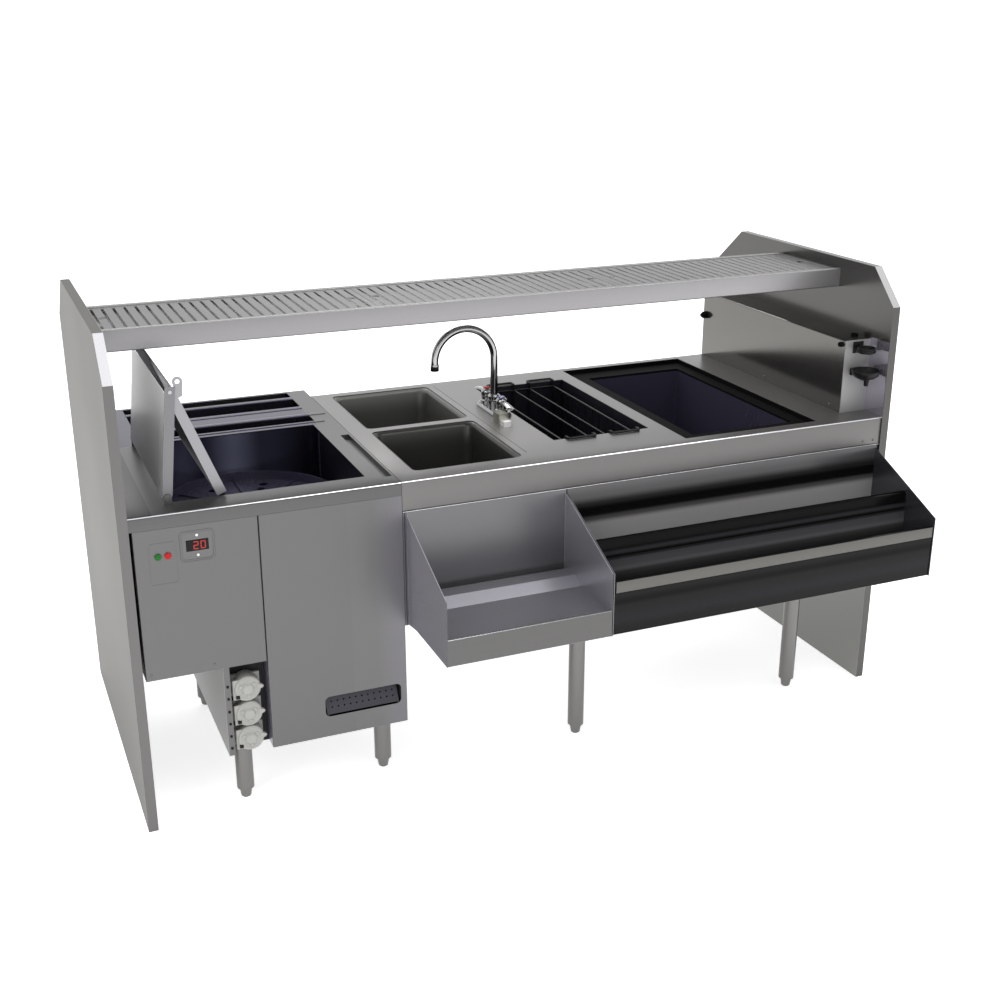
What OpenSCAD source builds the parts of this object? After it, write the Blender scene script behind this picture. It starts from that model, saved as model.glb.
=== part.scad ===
// Under-bar cocktail station: glass washer, two sinks, bottle well, ice bin, speed rails and over-shelf.
// Millimetres, +Z up. Modules are drawn from the left panel's outer face, the panels' front edge and the floor.

/* [Overall] */
// Width over the two side panels
station_w = 1980; // [1900:20:2100]
// Depth of the side panels, front to back
panel_d = 864; // [850:1:900]
// Height of the side panels
panel_h = 1143; // [1130:1:1200]
// Thickness of a side panel
panel_t = 22; // [16:1:24]
// Height of the deck
deck_z = 762; // [762:1:770]
// Distance that the tray and the speed rails reach forward of the panels
rail_reach = 252; // [240:1:270]

/* [Side panels] */
// Height of the slope at the panel's front
front_cut_h = 91; // [60:1:110]
// Depth of the slope at the panel's front
front_cut_d = 89; // [60:1:110]
// Height of the slope at the panel's back
back_cut_h = 113; // [80:1:130]
// Depth of the slope at the panel's back
back_cut_d = 142; // [100:1:180]

/* [Over-shelf] */
// Front edge of the shelf
shelf_y = 231; // [220:1:240]
// Depth of the shelf
shelf_d = 277; // [270:1:290]
// Top of the shelf
shelf_z = 1116; // [1110:1:1120]
// Height of the shelf's front and back aprons
shelf_apron = 50; // [40:1:60]
// Pitch of the drain slots
slot_pitch = 25.4; // [22:0.2:30]
// Width of a drain slot
slot_w = 7; // [4:0.5:9]

/* [Glass washer] */
// Right side of the washer
washer_x1 = 629.5; // [629:0.5:630]
// Left side of the narrow lower cabinet
lower_x0 = 197; // [190:1:205]
// Underside of the wide upper body
upper_z0 = 377; // [374:1:380]
// Underside of the lower cabinet
lower_z0 = 151; // [148:1:153]
// Radius of the glass turntable
table_r = 211; // [205:1:212]
// Angle of the left lid leaf above the deck when the lid stands open
lid_open = 84; // [80:1:84]
// Angle between the two leaves, from flat to open
lid_fold = 152.6; // [150:0.1:153]
// Length of the left leaf between its pivots
leaf_1 = 235; // [230:1:236]
// Length of the right leaf from its pivot to its free edge
leaf_2 = 258; // [255:1:258]

/* [Sinks and bins] */
// Width of a sink bowl at its rim
bowl_w = 279; // [270:1:285]
// Length of a sink bowl at its rim
bowl_l = 329; // [320:1:330]
// Depth of a sink bowl
bowl_depth = 252; // [200:1:260]
// Depth of the ice bin below its ledge
bin_depth = 300; // [260:1:305]
// Depth of the bottle well
well_depth = 190; // [150:1:200]

/* [Faucet] */
// Height of the spout's bend above the deck
spout_h = 146; // [130:1:150]
// Radius of the spout's bend
spout_r = 83; // [75:1:85]
// Diameter of the spout
spout_tube = 20; // [18:1:21]

/* [Legs] */
// Diameter of a leg tube
leg_dia = 41.3; // [38:0.1:42]
// Height of a levelling foot below its tube
foot_h = 30; // [25:1:35]

/* [Hidden] */
$fn = 48;

sheet_t = 2;
thin_t = 1.5;
front_y = 4;
in_x0 = panel_t;
in_x1 = station_w - panel_t;
steel = [0.56, 0.56, 0.55];
front_steel = [0.50, 0.50, 0.49];
dark_steel = [0.16, 0.16, 0.17];
sink_steel = [0.26, 0.26, 0.25];
navy = [0.15, 0.14, 0.20];
chrome = [0.80, 0.80, 0.81];
black = [0.06, 0.06, 0.06];
pump_grey = [0.70, 0.70, 0.67];

// Shelf inserts
insert_n = 3;
insert_gap = 2;
insert_w = (in_x1 - in_x0) / insert_n;
insert_y0 = shelf_y + 17.6;
insert_y1 = shelf_y + shelf_d - 17.6;
insert_z = shelf_z - 3;
insert_drop = 13;
finger_d = 22;
finger_in = 32;

// Washer
washer_x0 = 28;
washer_y1 = 850;
lower_y1 = 620;
deck_skirt = 32;
seam_x = 299;
tub_x = 347;
tub_y = 295;
open_x0 = 130;
open_x1 = 565;
open_y0 = 74;
open_y1 = 516;
tub_floor = 562;
table_z = 640;
spindle_d = 20;
hub_d = 36;
sump_c = [tub_x - 129, tub_y + 66];
rear_x1 = 577;
pump_x = 250;
pump_z = [312, 248, 185];
pump_face = 15;
pump_back = 46;
pump_r = 31;
barb_x = pump_x - 38;
slot_x0 = 428;
slot_x1 = 615;
slot_z0 = 203;
slot_z1 = 255;
scrap_d = 300;

// Lid
lid_y0 = 66;
lid_y1 = 526;
lid_half = 11;
pivot_x = 118;
pivot_z = deck_z + 13;
lid_inset = 3;
pin_d = 8;
pin_slack = 0.1;

// Controls
button_x = [78, 99];
button_z = 667;
button_d = 14;
display_x = [130, 197];
display_z = [650, 712];
screen_x = [141, 186];
screen_z = [671, 693];
key_x = 163.5;
key_z = [705, 659];

// Station
station_x0 = 630.5;
station_y1 = 785;
apron_z = deck_z - 74;
sink_x = 819.5;
sink_y = [230.5, 586.5];
well_x = [1080, 1347];
well_y = [155, 672];
bin_x = [1390, 1779];
bin_y = [40, 758];
liner_x = [1442, 1740];
liner_y = [92, 692];
liner_r = 7;
ledge_z = deck_z - 12;
faucet_x = 1044;
faucet_y = 455;
valve_gap = 51;
supply_d = 21.3;
drain_tail = 48.3;
base_top = deck_z + 12;
spout_arc_z = deck_z + spout_h;
crease_x = 978;

// Frame and legs
frame_z0 = 648;
frame_bar = 30;
front_bar = 52;
frame_y1 = 783;
station_feet = [[1097, 34], [1748, 38], [1097, 762], [1748, 762]];
washer_feet = [[240, 68], [585, 71], [240, 557], [585, 557]];

// Tray and rails
tray_x = [639, 1043];
rail_x = [1045, 1950];
hung_z0 = 412;
hung_top = 680;
tray_lip = 65;
tier_y = -135;
tier_top = 600;
upper_z = 500;
strip_z = [518, 545];

// Utility chase
chase_x0 = 1880;
chase_y = [78, 785];
chase_z1 = 956;
gun_x = 1919;
gun_y = 42;

// Points along an arc
function arc(c, r, a0, a1, n = 5) = [for (i = [0:n])
    let (a = a0 + (a1 - a0) * i / n)
    c + r * [cos(a), sin(a)]];

// Outline of a rectangle with round corners, counter-clockwise
function round_rect(x, y, r, n = 5) = concat(
    arc([x[1] - r, y[0] + r], r, -90, 0, n),
    arc([x[1] - r, y[1] - r], r, 0, 90, n),
    arc([x[0] + r, y[1] - r], r, 90, 180, n),
    arc([x[0] + r, y[0] + r], r, 180, 270, n));

// The same outline given by its centre, size and height, for lofts
function rect_ring(c, w, l, r, z) = [
    for (p = round_rect([c[0] - w / 2, c[0] + w / 2], [c[1] - l / 2, c[1] + l / 2], r))
    [p[0], p[1], z]];

function unit(v) = v / norm(v);
function left_of(v) = [-v[1], v[0]];

// The arc that rounds corner b of the path a, b, c
function corner_arc(a, b, c, r, n) =
    let (
        u = unit(a - b),
        v = unit(c - b),
        half = acos(u * v) / 2,
        centre = b + unit(u + v) * r / sin(half),
        p = b + u * r / tan(half) - centre,
        q = b + v * r / tan(half) - centre,
        a0 = atan2(p[1], p[0]),
        sweep = atan2(p[0] * q[1] - p[1] * q[0], p * q))
    arc(centre, r, a0, a0 + sweep, n);

// A path with its corners bent to a radius
function bent(path, r, n = 4) = concat([path[0]],
    [for (i = [1:len(path) - 2]) each corner_arc(path[i - 1], path[i], path[i + 1], r, n)],
    [path[len(path) - 1]]);

// Step to the left of a path at point i, one unit of sheet thickness
function side_step(path, i) =
    let (
        last = len(path) - 1,
        d0 = i == 0 ? path[1] - path[0] : path[i] - path[i - 1],
        d1 = i == last ? path[last] - path[last - 1] : path[i + 1] - path[i],
        n0 = left_of(unit(d0)),
        m = unit(n0 + left_of(unit(d1))))
    m / (m * n0);

// Outline of a bent sheet: the path and its offset to the left (t > 0) or right (t < 0)
function sheet_outline(path, t) = concat(path,
    [for (i = [len(path) - 1:-1:0]) path[i] + t * side_step(path, i)]);

// Extrude a (y, z) outline along X
module along_x(x0, x1) {
    translate([x0, 0, 0])
        rotate([90, 0, 90])
            linear_extrude(x1 - x0)
                children();
}

// Extrude an (x, z) outline along Y
module along_y(y0, y1) {
    translate([0, y1, 0])
        rotate([90, 0, 0])
            linear_extrude(y1 - y0)
                children();
}

// Extrude an (x, y) outline along Z
module along_z(z0, z1) {
    translate([0, 0, z0])
        linear_extrude(z1 - z0)
            children();
}

module block(x, y, z) {
    translate([x[0], y[0], z[0]])
        cube([x[1] - x[0], y[1] - y[0], z[1] - z[0]]);
}

// Round bar between heights, along Y or along X
module post(c, d, z0, z1) {
    translate([c[0], c[1], z0])
        cylinder(d = d, h = z1 - z0);
}

module bar_y(x, z, d, y0, y1) {
    translate([x, y0, z])
        rotate([-90, 0, 0])
            cylinder(d = d, h = y1 - y0);
}

module bar_x(y, z, d, x0, x1) {
    translate([x0, y, z])
        rotate([0, 90, 0])
            cylinder(d = d, h = x1 - x0);
}

// Closed skin through a list of equal rings, capped at both ends
module ring_loft(rings) {
    n = len(rings[0]);
    last = len(rings) - 1;
    sides = [for (k = [0:last - 1], i = [0:n - 1])
        let (a = k * n + i, b = k * n + (i + 1) % n)
        each [[a, a + n, b + n], [a, b + n, b]]];
    bottom = [for (i = [0:n - 1]) i];
    top = [for (i = [n - 1:-1:0]) last * n + i];
    polyhedron(points = [for (ring = rings) each ring], faces = concat(sides, [bottom, top]));
}

// Panel of two skins and a folded rim, open at the floor
module side_panel(x) {
    edge = [[0, 0], [0, panel_h - front_cut_h], [front_cut_d, panel_h], [panel_d - back_cut_d, panel_h],
        [panel_d, panel_h - back_cut_h], [panel_d, 0]];
    color(steel)
        union() {
            along_x(x, x + thin_t)
                polygon(edge);
            along_x(x + panel_t - thin_t, x + panel_t)
                polygon(edge);
            along_x(x, x + panel_t)
                polygon(sheet_outline(edge, -thin_t));
        }
}

module left_side_panel() {
    side_panel(0);
}

module right_side_panel() {
    side_panel(station_w - panel_t);
}

// Channel with rolled front and back rims, which carries the three inserts
module over_shelf() {
    y0 = shelf_y;
    y1 = shelf_y + shelf_d;
    floor_z = shelf_z - 16;
    path = bent([[y0 + 13, shelf_z - shelf_apron], [y0, shelf_z - shelf_apron],
        [y0, shelf_z], [y0 + 14, shelf_z],
        [y0 + 14, floor_z], [y1 - 14, floor_z], [y1 - 14, shelf_z], [y1, shelf_z],
        [y1, shelf_z - shelf_apron], [y1 - 13, shelf_z - shelf_apron]], 3.5);
    color(steel)
        along_x(in_x0, in_x1)
            polygon(sheet_outline(path, -thin_t));
}

// Slotted drainer with turned-down edges and two finger holes
module drainer_insert(i) {
    x0 = in_x0 + i * insert_w + insert_gap / 2;
    x1 = in_x0 + (i + 1) * insert_w - insert_gap / 2;
    path = bent([[insert_y0, insert_z - insert_drop], [insert_y0, insert_z], [insert_y1, insert_z],
        [insert_y1, insert_z - insert_drop]], 3);
    slots = floor((x1 - x0) / slot_pitch);
    first = (x0 + x1) / 2 - (slots - 1) * slot_pitch / 2;
    mid_y = (insert_y0 + insert_y1) / 2;
    color(steel)
        difference() {
            along_x(x0, x1)
                polygon(sheet_outline(path, -thin_t));
            for (k = [0:slots - 1])
                block([first + k * slot_pitch - slot_w / 2, first + k * slot_pitch + slot_w / 2],
                    [insert_y0 + 12, insert_y1 - 12], [insert_z - 5, insert_z + 1]);
            for (x = [x0 + finger_in, x1 - finger_in])
                post([x, mid_y], finger_d, insert_z - 5, insert_z + 1);
        }
}

module drainer_insert_left() {
    drainer_insert(0);
}

module drainer_insert_middle() {
    drainer_insert(1);
}

module drainer_insert_right() {
    drainer_insert(2);
}

// Walls and floor of the wide upper body
module washer_upper_body() {
    top = deck_z - sheet_t;
    back = washer_y1;
    front = front_y + thin_t;
    floor_z = [upper_z0, upper_z0 + thin_t];
    color(front_steel) {
        block([washer_x0, washer_x0 + thin_t], [front_y + 14, back], [upper_z0, top]);
        block([washer_x1 - thin_t, washer_x1], [front_y + 6.4, back], [upper_z0, top]);
        block([washer_x0 + thin_t, washer_x1 - thin_t], [back - thin_t, back], [upper_z0, top]);
        block([washer_x0 + thin_t, lower_x0], [front, back - thin_t], floor_z);
        block([lower_x0, seam_x - 4.3], [front, pump_back], floor_z);
        block([lower_x0, washer_x1 - thin_t], [lower_y1, back - thin_t], floor_z);
    }
}

// Narrow lower cabinet on its four legs
module washer_lower_body() {
    front = front_y + thin_t;
    floor_z = [lower_z0, lower_z0 + thin_t];
    inner_x = [lower_x0 + thin_t, washer_x1 - thin_t];
    runner_y = [front + 2, front + scrap_d + 8];
    color(front_steel) {
        block([lower_x0, lower_x0 + thin_t], [front, lower_y1], [lower_z0, upper_z0]);
        block([lower_x0 + thin_t, lower_x0 + 14], [front, front + thin_t], [lower_z0, upper_z0]);
        block([washer_x1 - thin_t, washer_x1], [front, lower_y1], [lower_z0, upper_z0]);
        block(inner_x, [lower_y1 - thin_t, lower_y1], [lower_z0, upper_z0]);
        block(inner_x, [pump_back + 4, lower_y1 - thin_t], floor_z);
        block([seam_x + thin_t, inner_x[1]], [front, pump_back + 4], floor_z);
        for (x = [slot_x0, slot_x1 - 10])
            block([x, x + 10], runner_y, [floor_z[1], slot_z0 + 2.7]);
        for (x = [slot_x0 - sheet_t, slot_x1])
            block([x, x + sheet_t], runner_y, [floor_z[1], slot_z1 - 8]);
    }
}

// Rail of inverted U section across the washer's rear wells
module cross_rail(y, x1) {
    path = bent([[y[0], deck_z - 20], [y[0], deck_z + 2], [y[1], deck_z + 2], [y[1], deck_z - 20]], 3);
    along_x(open_x0, x1)
        polygon(sheet_outline(path, -thin_t));
}

// Ear that carries a lid pin
module lid_ear(y0) {
    difference() {
        along_y(y0, y0 + 3)
            union() {
                translate([pivot_x, pivot_z])
                    circle(r = 9);
                translate([pivot_x - 9, deck_z - 1])
                    square([18, pivot_z - deck_z + 1]);
            }
        bar_y(pivot_x, pivot_z, pin_d + 2 * pin_slack, y0 - 1, y0 + 4);
    }
}

// Washer top with the wash opening, a pressed trough beside it and the rear wells
module washer_deck() {
    front_path = bent([[front_y, deck_z - deck_skirt], [front_y, deck_z], [washer_y1, deck_z]], 6);
    trough_x = [603, 624];
    trough_y = [54, 400];
    color(steel) {
        difference() {
            along_x(in_x0, washer_x1)
                polygon(sheet_outline(front_path, -sheet_t));
            block([open_x0, open_x1], [open_y0, open_y1], [deck_z - 5, deck_z + 1]);
            block([open_x0, rear_x1], [539, 606], [deck_z - 5, deck_z + 1]);
            block([open_x0, rear_x1], [690, 838], [deck_z - 5, deck_z + 1]);
            block(trough_x, trough_y, [deck_z - 5, deck_z + 1]);
        }
        difference() {
            block([trough_x[0] - thin_t, trough_x[1] + thin_t], [trough_y[0] - thin_t, trough_y[1] + thin_t],
                [deck_z - 12, deck_z - sheet_t]);
            block(trough_x, trough_y, [deck_z - 12 + thin_t, deck_z]);
        }
        cross_rail([533, 545], 600);
        cross_rail([600, 618], 621);
        cross_rail([670, 690], rear_x1);
        cross_rail([770, 788], rear_x1);
        lid_ear(lid_y0 - 4.5);
        lid_ear(lid_y1 + 1.5);
    }
}

// Front of the control box, with pressed plates round the buttons and the display
module washer_control_panel() {
    x = [washer_x0, seam_x - 1];
    z = [upper_z0, deck_z - deck_skirt - 0.5];
    path = bent([[x[0], front_y + 14], [x[0], front_y], [x[1], front_y], [x[1], front_y + 14]], 3);
    plate_x = [58, 118];
    plate_z = [603, 700];
    color(front_steel)
        difference() {
            along_z(z[0], z[1])
                polygon(sheet_outline(path, thin_t));
            along_y(front_y - 1, front_y + 0.5)
                difference() {
                    polygon(round_rect(plate_x, plate_z, 8));
                    polygon(round_rect([plate_x[0] + 2, plate_x[1] - 2], [plate_z[0] + 2, plate_z[1] - 2], 6));
                }
            for (bx = button_x)
                bar_y(bx, button_z, button_d + 0.6, front_y - 1, front_y + 5);
            along_y(front_y - 1, front_y + 5)
                polygon(round_rect(display_x, display_z, 8));
        }
}

// Front panel of the washer, with the scrap slot and the return beside the pumps
module washer_front_panel() {
    x = [seam_x, washer_x1];
    z = [lower_z0, deck_z - deck_skirt - 0.5];
    path = bent([[x[0], pump_back], [x[0], front_y], [x[1], front_y]], 3);
    color(front_steel)
        difference() {
            along_z(z[0], z[1])
                polygon(sheet_outline(path, thin_t));
            along_y(front_y - 1, front_y + 3)
                polygon(round_rect([slot_x0, slot_x1], [slot_z0, slot_z1], 12));
        }
}

// Display with its dark screen, set in the control panel's window
module display_module() {
    back = front_y + thin_t;
    color(black) {
        difference() {
            union() {
                along_y(front_y + 0.6, back)
                    polygon(round_rect([display_x[0] + 0.5, display_x[1] - 0.5],
                        [display_z[0] + 0.5, display_z[1] - 0.5], 7.5));
                along_y(front_y - 0.4, front_y + 0.6)
                    polygon(round_rect(screen_x, screen_z, 2));
                block([display_x[0] - 6, display_x[1] + 6], [back, back + 24],
                    [display_z[0] - 6, display_z[1] + 6]);
            }
            for (z = key_z)
                bar_y(key_x, z, 6.6, front_y, front_y + 9);
        }
        for (x = button_x)
            difference() {
                block([x - 10, x + 10], [back, back + 22], [button_z - 11, button_z + 11]);
                bar_y(x, button_z, button_d + 0.6, back - 1, back + 18);
            }
    }
}

// Push-button: domed cap, skirt and stem
module push_button(x, z, d, stick_out, stem) {
    translate([x, front_y - stick_out, z])
        rotate([-90, 0, 0])
            rotate_extrude()
                polygon(concat([[0, 0]], arc([d / 2 - 1, 1], 1, -90, 0, 3), [[d / 2, stem], [0, stem]]));
}

module start_button() {
    color([0.05, 0.55, 0.15])
        push_button(button_x[0], button_z, button_d, 4, 16);
}

module stop_button() {
    color([0.85, 0.10, 0.08])
        push_button(button_x[1], button_z, button_d, 4, 16);
}

module set_button() {
    color("white")
        push_button(key_x, key_z[0], 6, 1, 6);
}

module clear_button() {
    color("white")
        push_button(key_x, key_z[1], 6, 1, 6);
}

// Wash well with round corners and a rim flange, hung under the washer's top
module wash_tub() {
    color(navy)
        difference() {
            union() {
                block([open_x0 - 10, open_x1 + 10], [open_y0 - 10, open_y1 + 10],
                    [deck_z - 2 * sheet_t, deck_z - sheet_t]);
                along_z(tub_floor - sheet_t, deck_z - 2 * sheet_t)
                    polygon(round_rect([open_x0 - 4, open_x1 + 4], [open_y0 - 4, open_y1 + 4], 20));
            }
            along_z(tub_floor, deck_z)
                polygon(round_rect([open_x0 - 2, open_x1 + 2], [open_y0 - 2, open_y1 + 2], 18));
            post([tub_x, tub_y], hub_d + 0.6, tub_floor - 5, tub_floor + 1);
            post(sump_c, 60, tub_floor - 5, tub_floor + 1);
        }
}

// Spray arm under the turntable, fed through the tub's sump
module spray_arm() {
    arm_z = tub_floor + 44;
    color(steel)
        difference() {
            union() {
                post(sump_c, 59.4, tub_floor - sheet_t, tub_floor);
                post(sump_c, 80, tub_floor, tub_floor + 6);
                post(sump_c, 26, tub_floor + 6, arm_z);
                bar_x(sump_c[1], arm_z, 22, sump_c[0] - 40, sump_c[0] + 260);
            }
            for (k = [0:6])
                post([sump_c[0] + k * 36, sump_c[1]], 5, arm_z, arm_z + 14);
        }
}

// Wash pump: volute and motor under the tub
module wash_pump() {
    volute_z = [470, 520];
    color(dark_steel) {
        post(sump_c, 50, volute_z[1], tub_floor - sheet_t);
        post(sump_c, 110, volute_z[0], volute_z[1]);
        post(sump_c, 96, volute_z[0] - 80, volute_z[0]);
        bar_y(sump_c[0], 495, 30, sump_c[1] + 50, sump_c[1] + 110);
    }
}

// Gear motor and fixed spindle of the turntable
module turntable_drive() {
    c = [tub_x, tub_y];
    color(dark_steel) {
        post(c, 90, 440, 520);
        post(c, 60, 520, tub_floor - sheet_t);
        post(c, hub_d, tub_floor - sheet_t, table_z - 0.3);
        post(c, spindle_d, table_z - 0.3, table_z + 24);
    }
}

// Glass turntable: raised rim, spokes and drain holes
module glass_turntable() {
    rings = [60, 95, 130, 165];
    color(navy)
        translate([tub_x, tub_y, 0])
            difference() {
                union() {
                    translate([0, 0, table_z])
                        rotate_extrude($fn = 96)
                            polygon([[0, 0], [table_r, 0], [table_r, 24], [table_r - 3, 24], [table_r - 3, 3],
                                [34, 3], [20, 30], [0, 30]]);
                    for (a = [0:45:315])
                        rotate([0, 0, a])
                            translate([36, -1.5, table_z + 2])
                                cube([table_r - 38, 3, 5]);
                }
                translate([0, 0, table_z - 1])
                    cylinder(d = spindle_d + 0.15, h = 40);
                for (k = [0:len(rings) - 1], a = [22.5:45:337.5])
                    rotate([0, 0, a])
                        translate([rings[k], 0, table_z - 1])
                            cylinder(d = 14 + 3 * k, h = 10);
            }
}

// Side flange of a lid leaf in (s, n): s along the leaf from its first pivot, n towards the skin
module left_leaf_flange() {
    difference() {
        union() {
            circle(r = 9);
            polygon([[0, -9], [0, lid_half], [leaf_1 + 12, lid_half], [leaf_1 + 12, -lid_half],
                [4, -lid_half]]);
        }
        circle(d = pin_d);
        translate([leaf_1, 0])
            circle(d = pin_d);
    }
}

module right_leaf_flange() {
    difference() {
        union() {
            circle(r = 9);
            polygon([[0, -9], [0, 9], [6, lid_half], [leaf_2, lid_half], [leaf_2, -lid_half], [6, -lid_half]]);
        }
        circle(d = pin_d + 2 * pin_slack);
    }
}

// Lock-open eye above the right leaf's pivot
module lock_eye() {
    eye = [-13, 24];
    difference() {
        union() {
            translate(eye)
                circle(r = 11);
            polygon([[-13, 13], [-3, 12], [5, 6], [20, 9.6], [20, 20], [-8, 34]]);
        }
        translate(eye)
            circle(d = 10);
    }
}

// Place leaf coordinates (s, n) at the open angle about a pivot
module leaf_frame(x, z, angle) {
    translate([x, 0, z])
        rotate([0, -angle, 0])
            children();
}

hinge_x = pivot_x + leaf_1 * cos(lid_open);
hinge_z = pivot_z + leaf_1 * sin(lid_open);

// Left leaf: a shallow pan that stands on the washer's left edge
module lid_left_leaf() {
    color(steel)
        leaf_frame(pivot_x, pivot_z, lid_open)
            union() {
                block([0, leaf_1 - 2], [lid_y0 + thin_t, lid_y1 - thin_t], [lid_half - thin_t, lid_half]);
                along_y(lid_y0, lid_y0 + thin_t)
                    left_leaf_flange();
                along_y(lid_y1 - thin_t, lid_y1)
                    left_leaf_flange();
            }
}

// Right leaf: nests inside the left leaf's flanges and leans from its top to the deck
module lid_right_leaf() {
    y0 = lid_y0 + lid_inset;
    y1 = lid_y1 - lid_inset;
    color(steel)
        leaf_frame(hinge_x, hinge_z, lid_open - lid_fold)
            union() {
                block([6, leaf_2], [y0 + thin_t, y1 - thin_t], [lid_half - thin_t, lid_half]);
                block([leaf_2 - thin_t, leaf_2], [y0 + thin_t, y1 - thin_t], [-lid_half, lid_half - thin_t]);
                along_y(y0, y0 + thin_t)
                    union() {
                        right_leaf_flange();
                        lock_eye();
                    }
                along_y(y1 - thin_t, y1)
                    right_leaf_flange();
            }
}

// Pins of both hinges, carried by the left leaf
module lid_pins() {
    color(chrome) {
        bar_y(pivot_x, pivot_z, pin_d, lid_y0 - 5, lid_y0 + 5);
        bar_y(pivot_x, pivot_z, pin_d, lid_y1 - 5, lid_y1 + 5);
        bar_y(hinge_x, hinge_z, pin_d, lid_y0 - 1, lid_y0 + 7);
        bar_y(hinge_x, hinge_z, pin_d, lid_y1 - 7, lid_y1 + 1);
    }
}

// Black plate behind the three dosing pumps
module pump_niche() {
    color(black)
        block([lower_x0 + thin_t, seam_x + thin_t], [pump_back, pump_back + 4], [lower_z0, upper_z0]);
}

module pump_body(z) {
    difference() {
        union() {
            bar_y(pump_x, z, 2 * pump_r, pump_face, pump_back);
            block([pump_x - 34, pump_x + 34], [pump_back - 8, pump_back], [z - 26, z + 26]);
            block([barb_x, pump_x - 20], [pump_back - 20, pump_back], [z - 17, z + 17]);
        }
        bar_y(pump_x, z, 2 * pump_r - 8, pump_face - 1, pump_back - 8);
        bar_y(pump_x, z, 6.12, pump_back - 10, pump_back - 2);
    }
}

module pump_bodies() {
    color(pump_grey)
        for (z = pump_z)
            pump_body(z);
}

// Domed cover with a raised web and a latch tab at the right
module pump_cover(z) {
    translate([pump_x, pump_face, z])
        rotate([90, 0, 0])
            union() {
                rotate_extrude()
                    polygon([[0, 0], [pump_r, 0], [pump_r, 4], [pump_r - 4, 8], [13, 9], [11, 12], [0, 12]]);
                translate([-34, -25, 0])
                    cube([34, 50, 4]);
                linear_extrude(10)
                    polygon([[pump_r - 6, -5], [pump_r + 9, 1], [pump_r + 9, 5], [pump_r - 6, 10]]);
                for (a = [35, 155, 275])
                    rotate([0, 0, a])
                        translate([10, -2.5, 4])
                            cube([pump_r - 15, 5, 6.5]);
            }
}

module pump_covers() {
    color(pump_grey)
        for (z = pump_z)
            pump_cover(z);
}

// Hose barbs at the left of each pump
module pump_fittings() {
    color(black)
        for (z = pump_z, dz = [-11, 11])
            bar_x(pump_back - 13, z + dz, 7, lower_x0 + thin_t + 0.5, barb_x);
}

// Rotor with three rollers on a disc
module pump_rotor(z) {
    color(pump_grey)
        translate([pump_x, pump_back - 2.2, z])
            rotate([90, 0, 0])
                union() {
                    rotate_extrude()
                        polygon([[0, 0], [3, 0], [3, 7], [25, 7], [25, 10], [8, 10], [8, 25], [0, 25]]);
                    for (a = [0:120:240])
                        rotate([0, 0, a])
                            translate([17.5, 0, 9])
                                cylinder(d = 12, h = 15);
                }
}

module pump_rotor_top() {
    pump_rotor(pump_z[0]);
}

module pump_rotor_middle() {
    pump_rotor(pump_z[1]);
}

module pump_rotor_bottom() {
    pump_rotor(pump_z[2]);
}

// Scrap tray that slides out of the slot, with a sloped and perforated front
module scrap_tray() {
    x = [slot_x0 + 5, slot_x1 - 5];
    z = [slot_z0 + 3, slot_z1 - 5];
    y0 = front_y + 4;
    slope = 22;
    side = [[y0, z[0]], [y0 + scrap_d, z[0]], [y0 + scrap_d, z[1]], [y0 + slope, z[1]]];
    lean = atan2(slope, z[1] - z[0]);
    color(dark_steel)
        difference() {
            along_x(x[0], x[1])
                polygon(side);
            along_x(x[0] + thin_t, x[1] - thin_t)
                polygon([[y0 + 2.5, z[0] + thin_t], [y0 + scrap_d - thin_t, z[0] + thin_t],
                    [y0 + scrap_d - thin_t, z[1] + 1], [y0 + slope + 3, z[1] + 1]]);
            for (k = [0:10], row = [0:1])
                translate([x[0] + 14 + k * 15, y0, z[0]])
                    rotate([-lean, 0, 0])
                        translate([0, 0, 16 + 14 * row])
                            rotate([90, 0, 0])
                                cylinder(d = 4, h = 12, center = true);
        }
}

module leg_tube(p, top) {
    difference() {
        post(p, leg_dia, foot_h, top);
        post(p, leg_dia - 2 * sheet_t, foot_h - 1, top + 1);
    }
}

module leg_tubes() {
    color(steel) {
        for (p = station_feet)
            leg_tube(p, frame_z0);
        for (p = washer_feet)
            leg_tube(p, lower_z0);
    }
}

// Bullet foot: collar under the tube, tapered body and round pad
module levelling_feet() {
    color(steel)
        for (p = concat(station_feet, washer_feet))
            translate([p[0], p[1], 0])
                rotate_extrude($fn = 32)
                    polygon([[0, 0], [9, 0], [12, 3], [15, foot_h - 7], [leg_dia / 2, foot_h - 4],
                        [leg_dia / 2, foot_h], [0, foot_h]]);
}

// Deck of the sink and ice section, with its apron and openings
module station_deck() {
    path = bent([[front_y + 14, apron_z], [front_y, apron_z], [front_y, deck_z], [station_y1, deck_z],
        [station_y1, deck_z - 30]], 5);
    color(steel) {
        difference() {
            along_x(station_x0, in_x1)
                polygon(sheet_outline(path, -sheet_t));
            for (y = sink_y)
                along_z(deck_z - 5, deck_z + 1)
                    polygon(round_rect([sink_x - bowl_w / 2, sink_x + bowl_w / 2],
                        [y - bowl_l / 2, y + bowl_l / 2], 18));
            block(well_x, well_y, [deck_z - 5, deck_z + 1]);
            block(bin_x, bin_y, [deck_z - 5, deck_z + 1]);
            block([crease_x, crease_x + 1.6], [92, 746], [deck_z - 0.7, deck_z + 1]);
            for (dy = [-valve_gap, valve_gap])
                post([faucet_x, faucet_y + dy], 24, deck_z - 5, deck_z + 1);
        }
        difference() {
            block([bin_x[0] - sheet_t, bin_x[1] + sheet_t], [bin_y[0] - sheet_t, bin_y[1] + sheet_t],
                [ledge_z, deck_z - sheet_t]);
            block(bin_x, bin_y, [ledge_z - 1, deck_z]);
        }
    }
}

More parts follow.
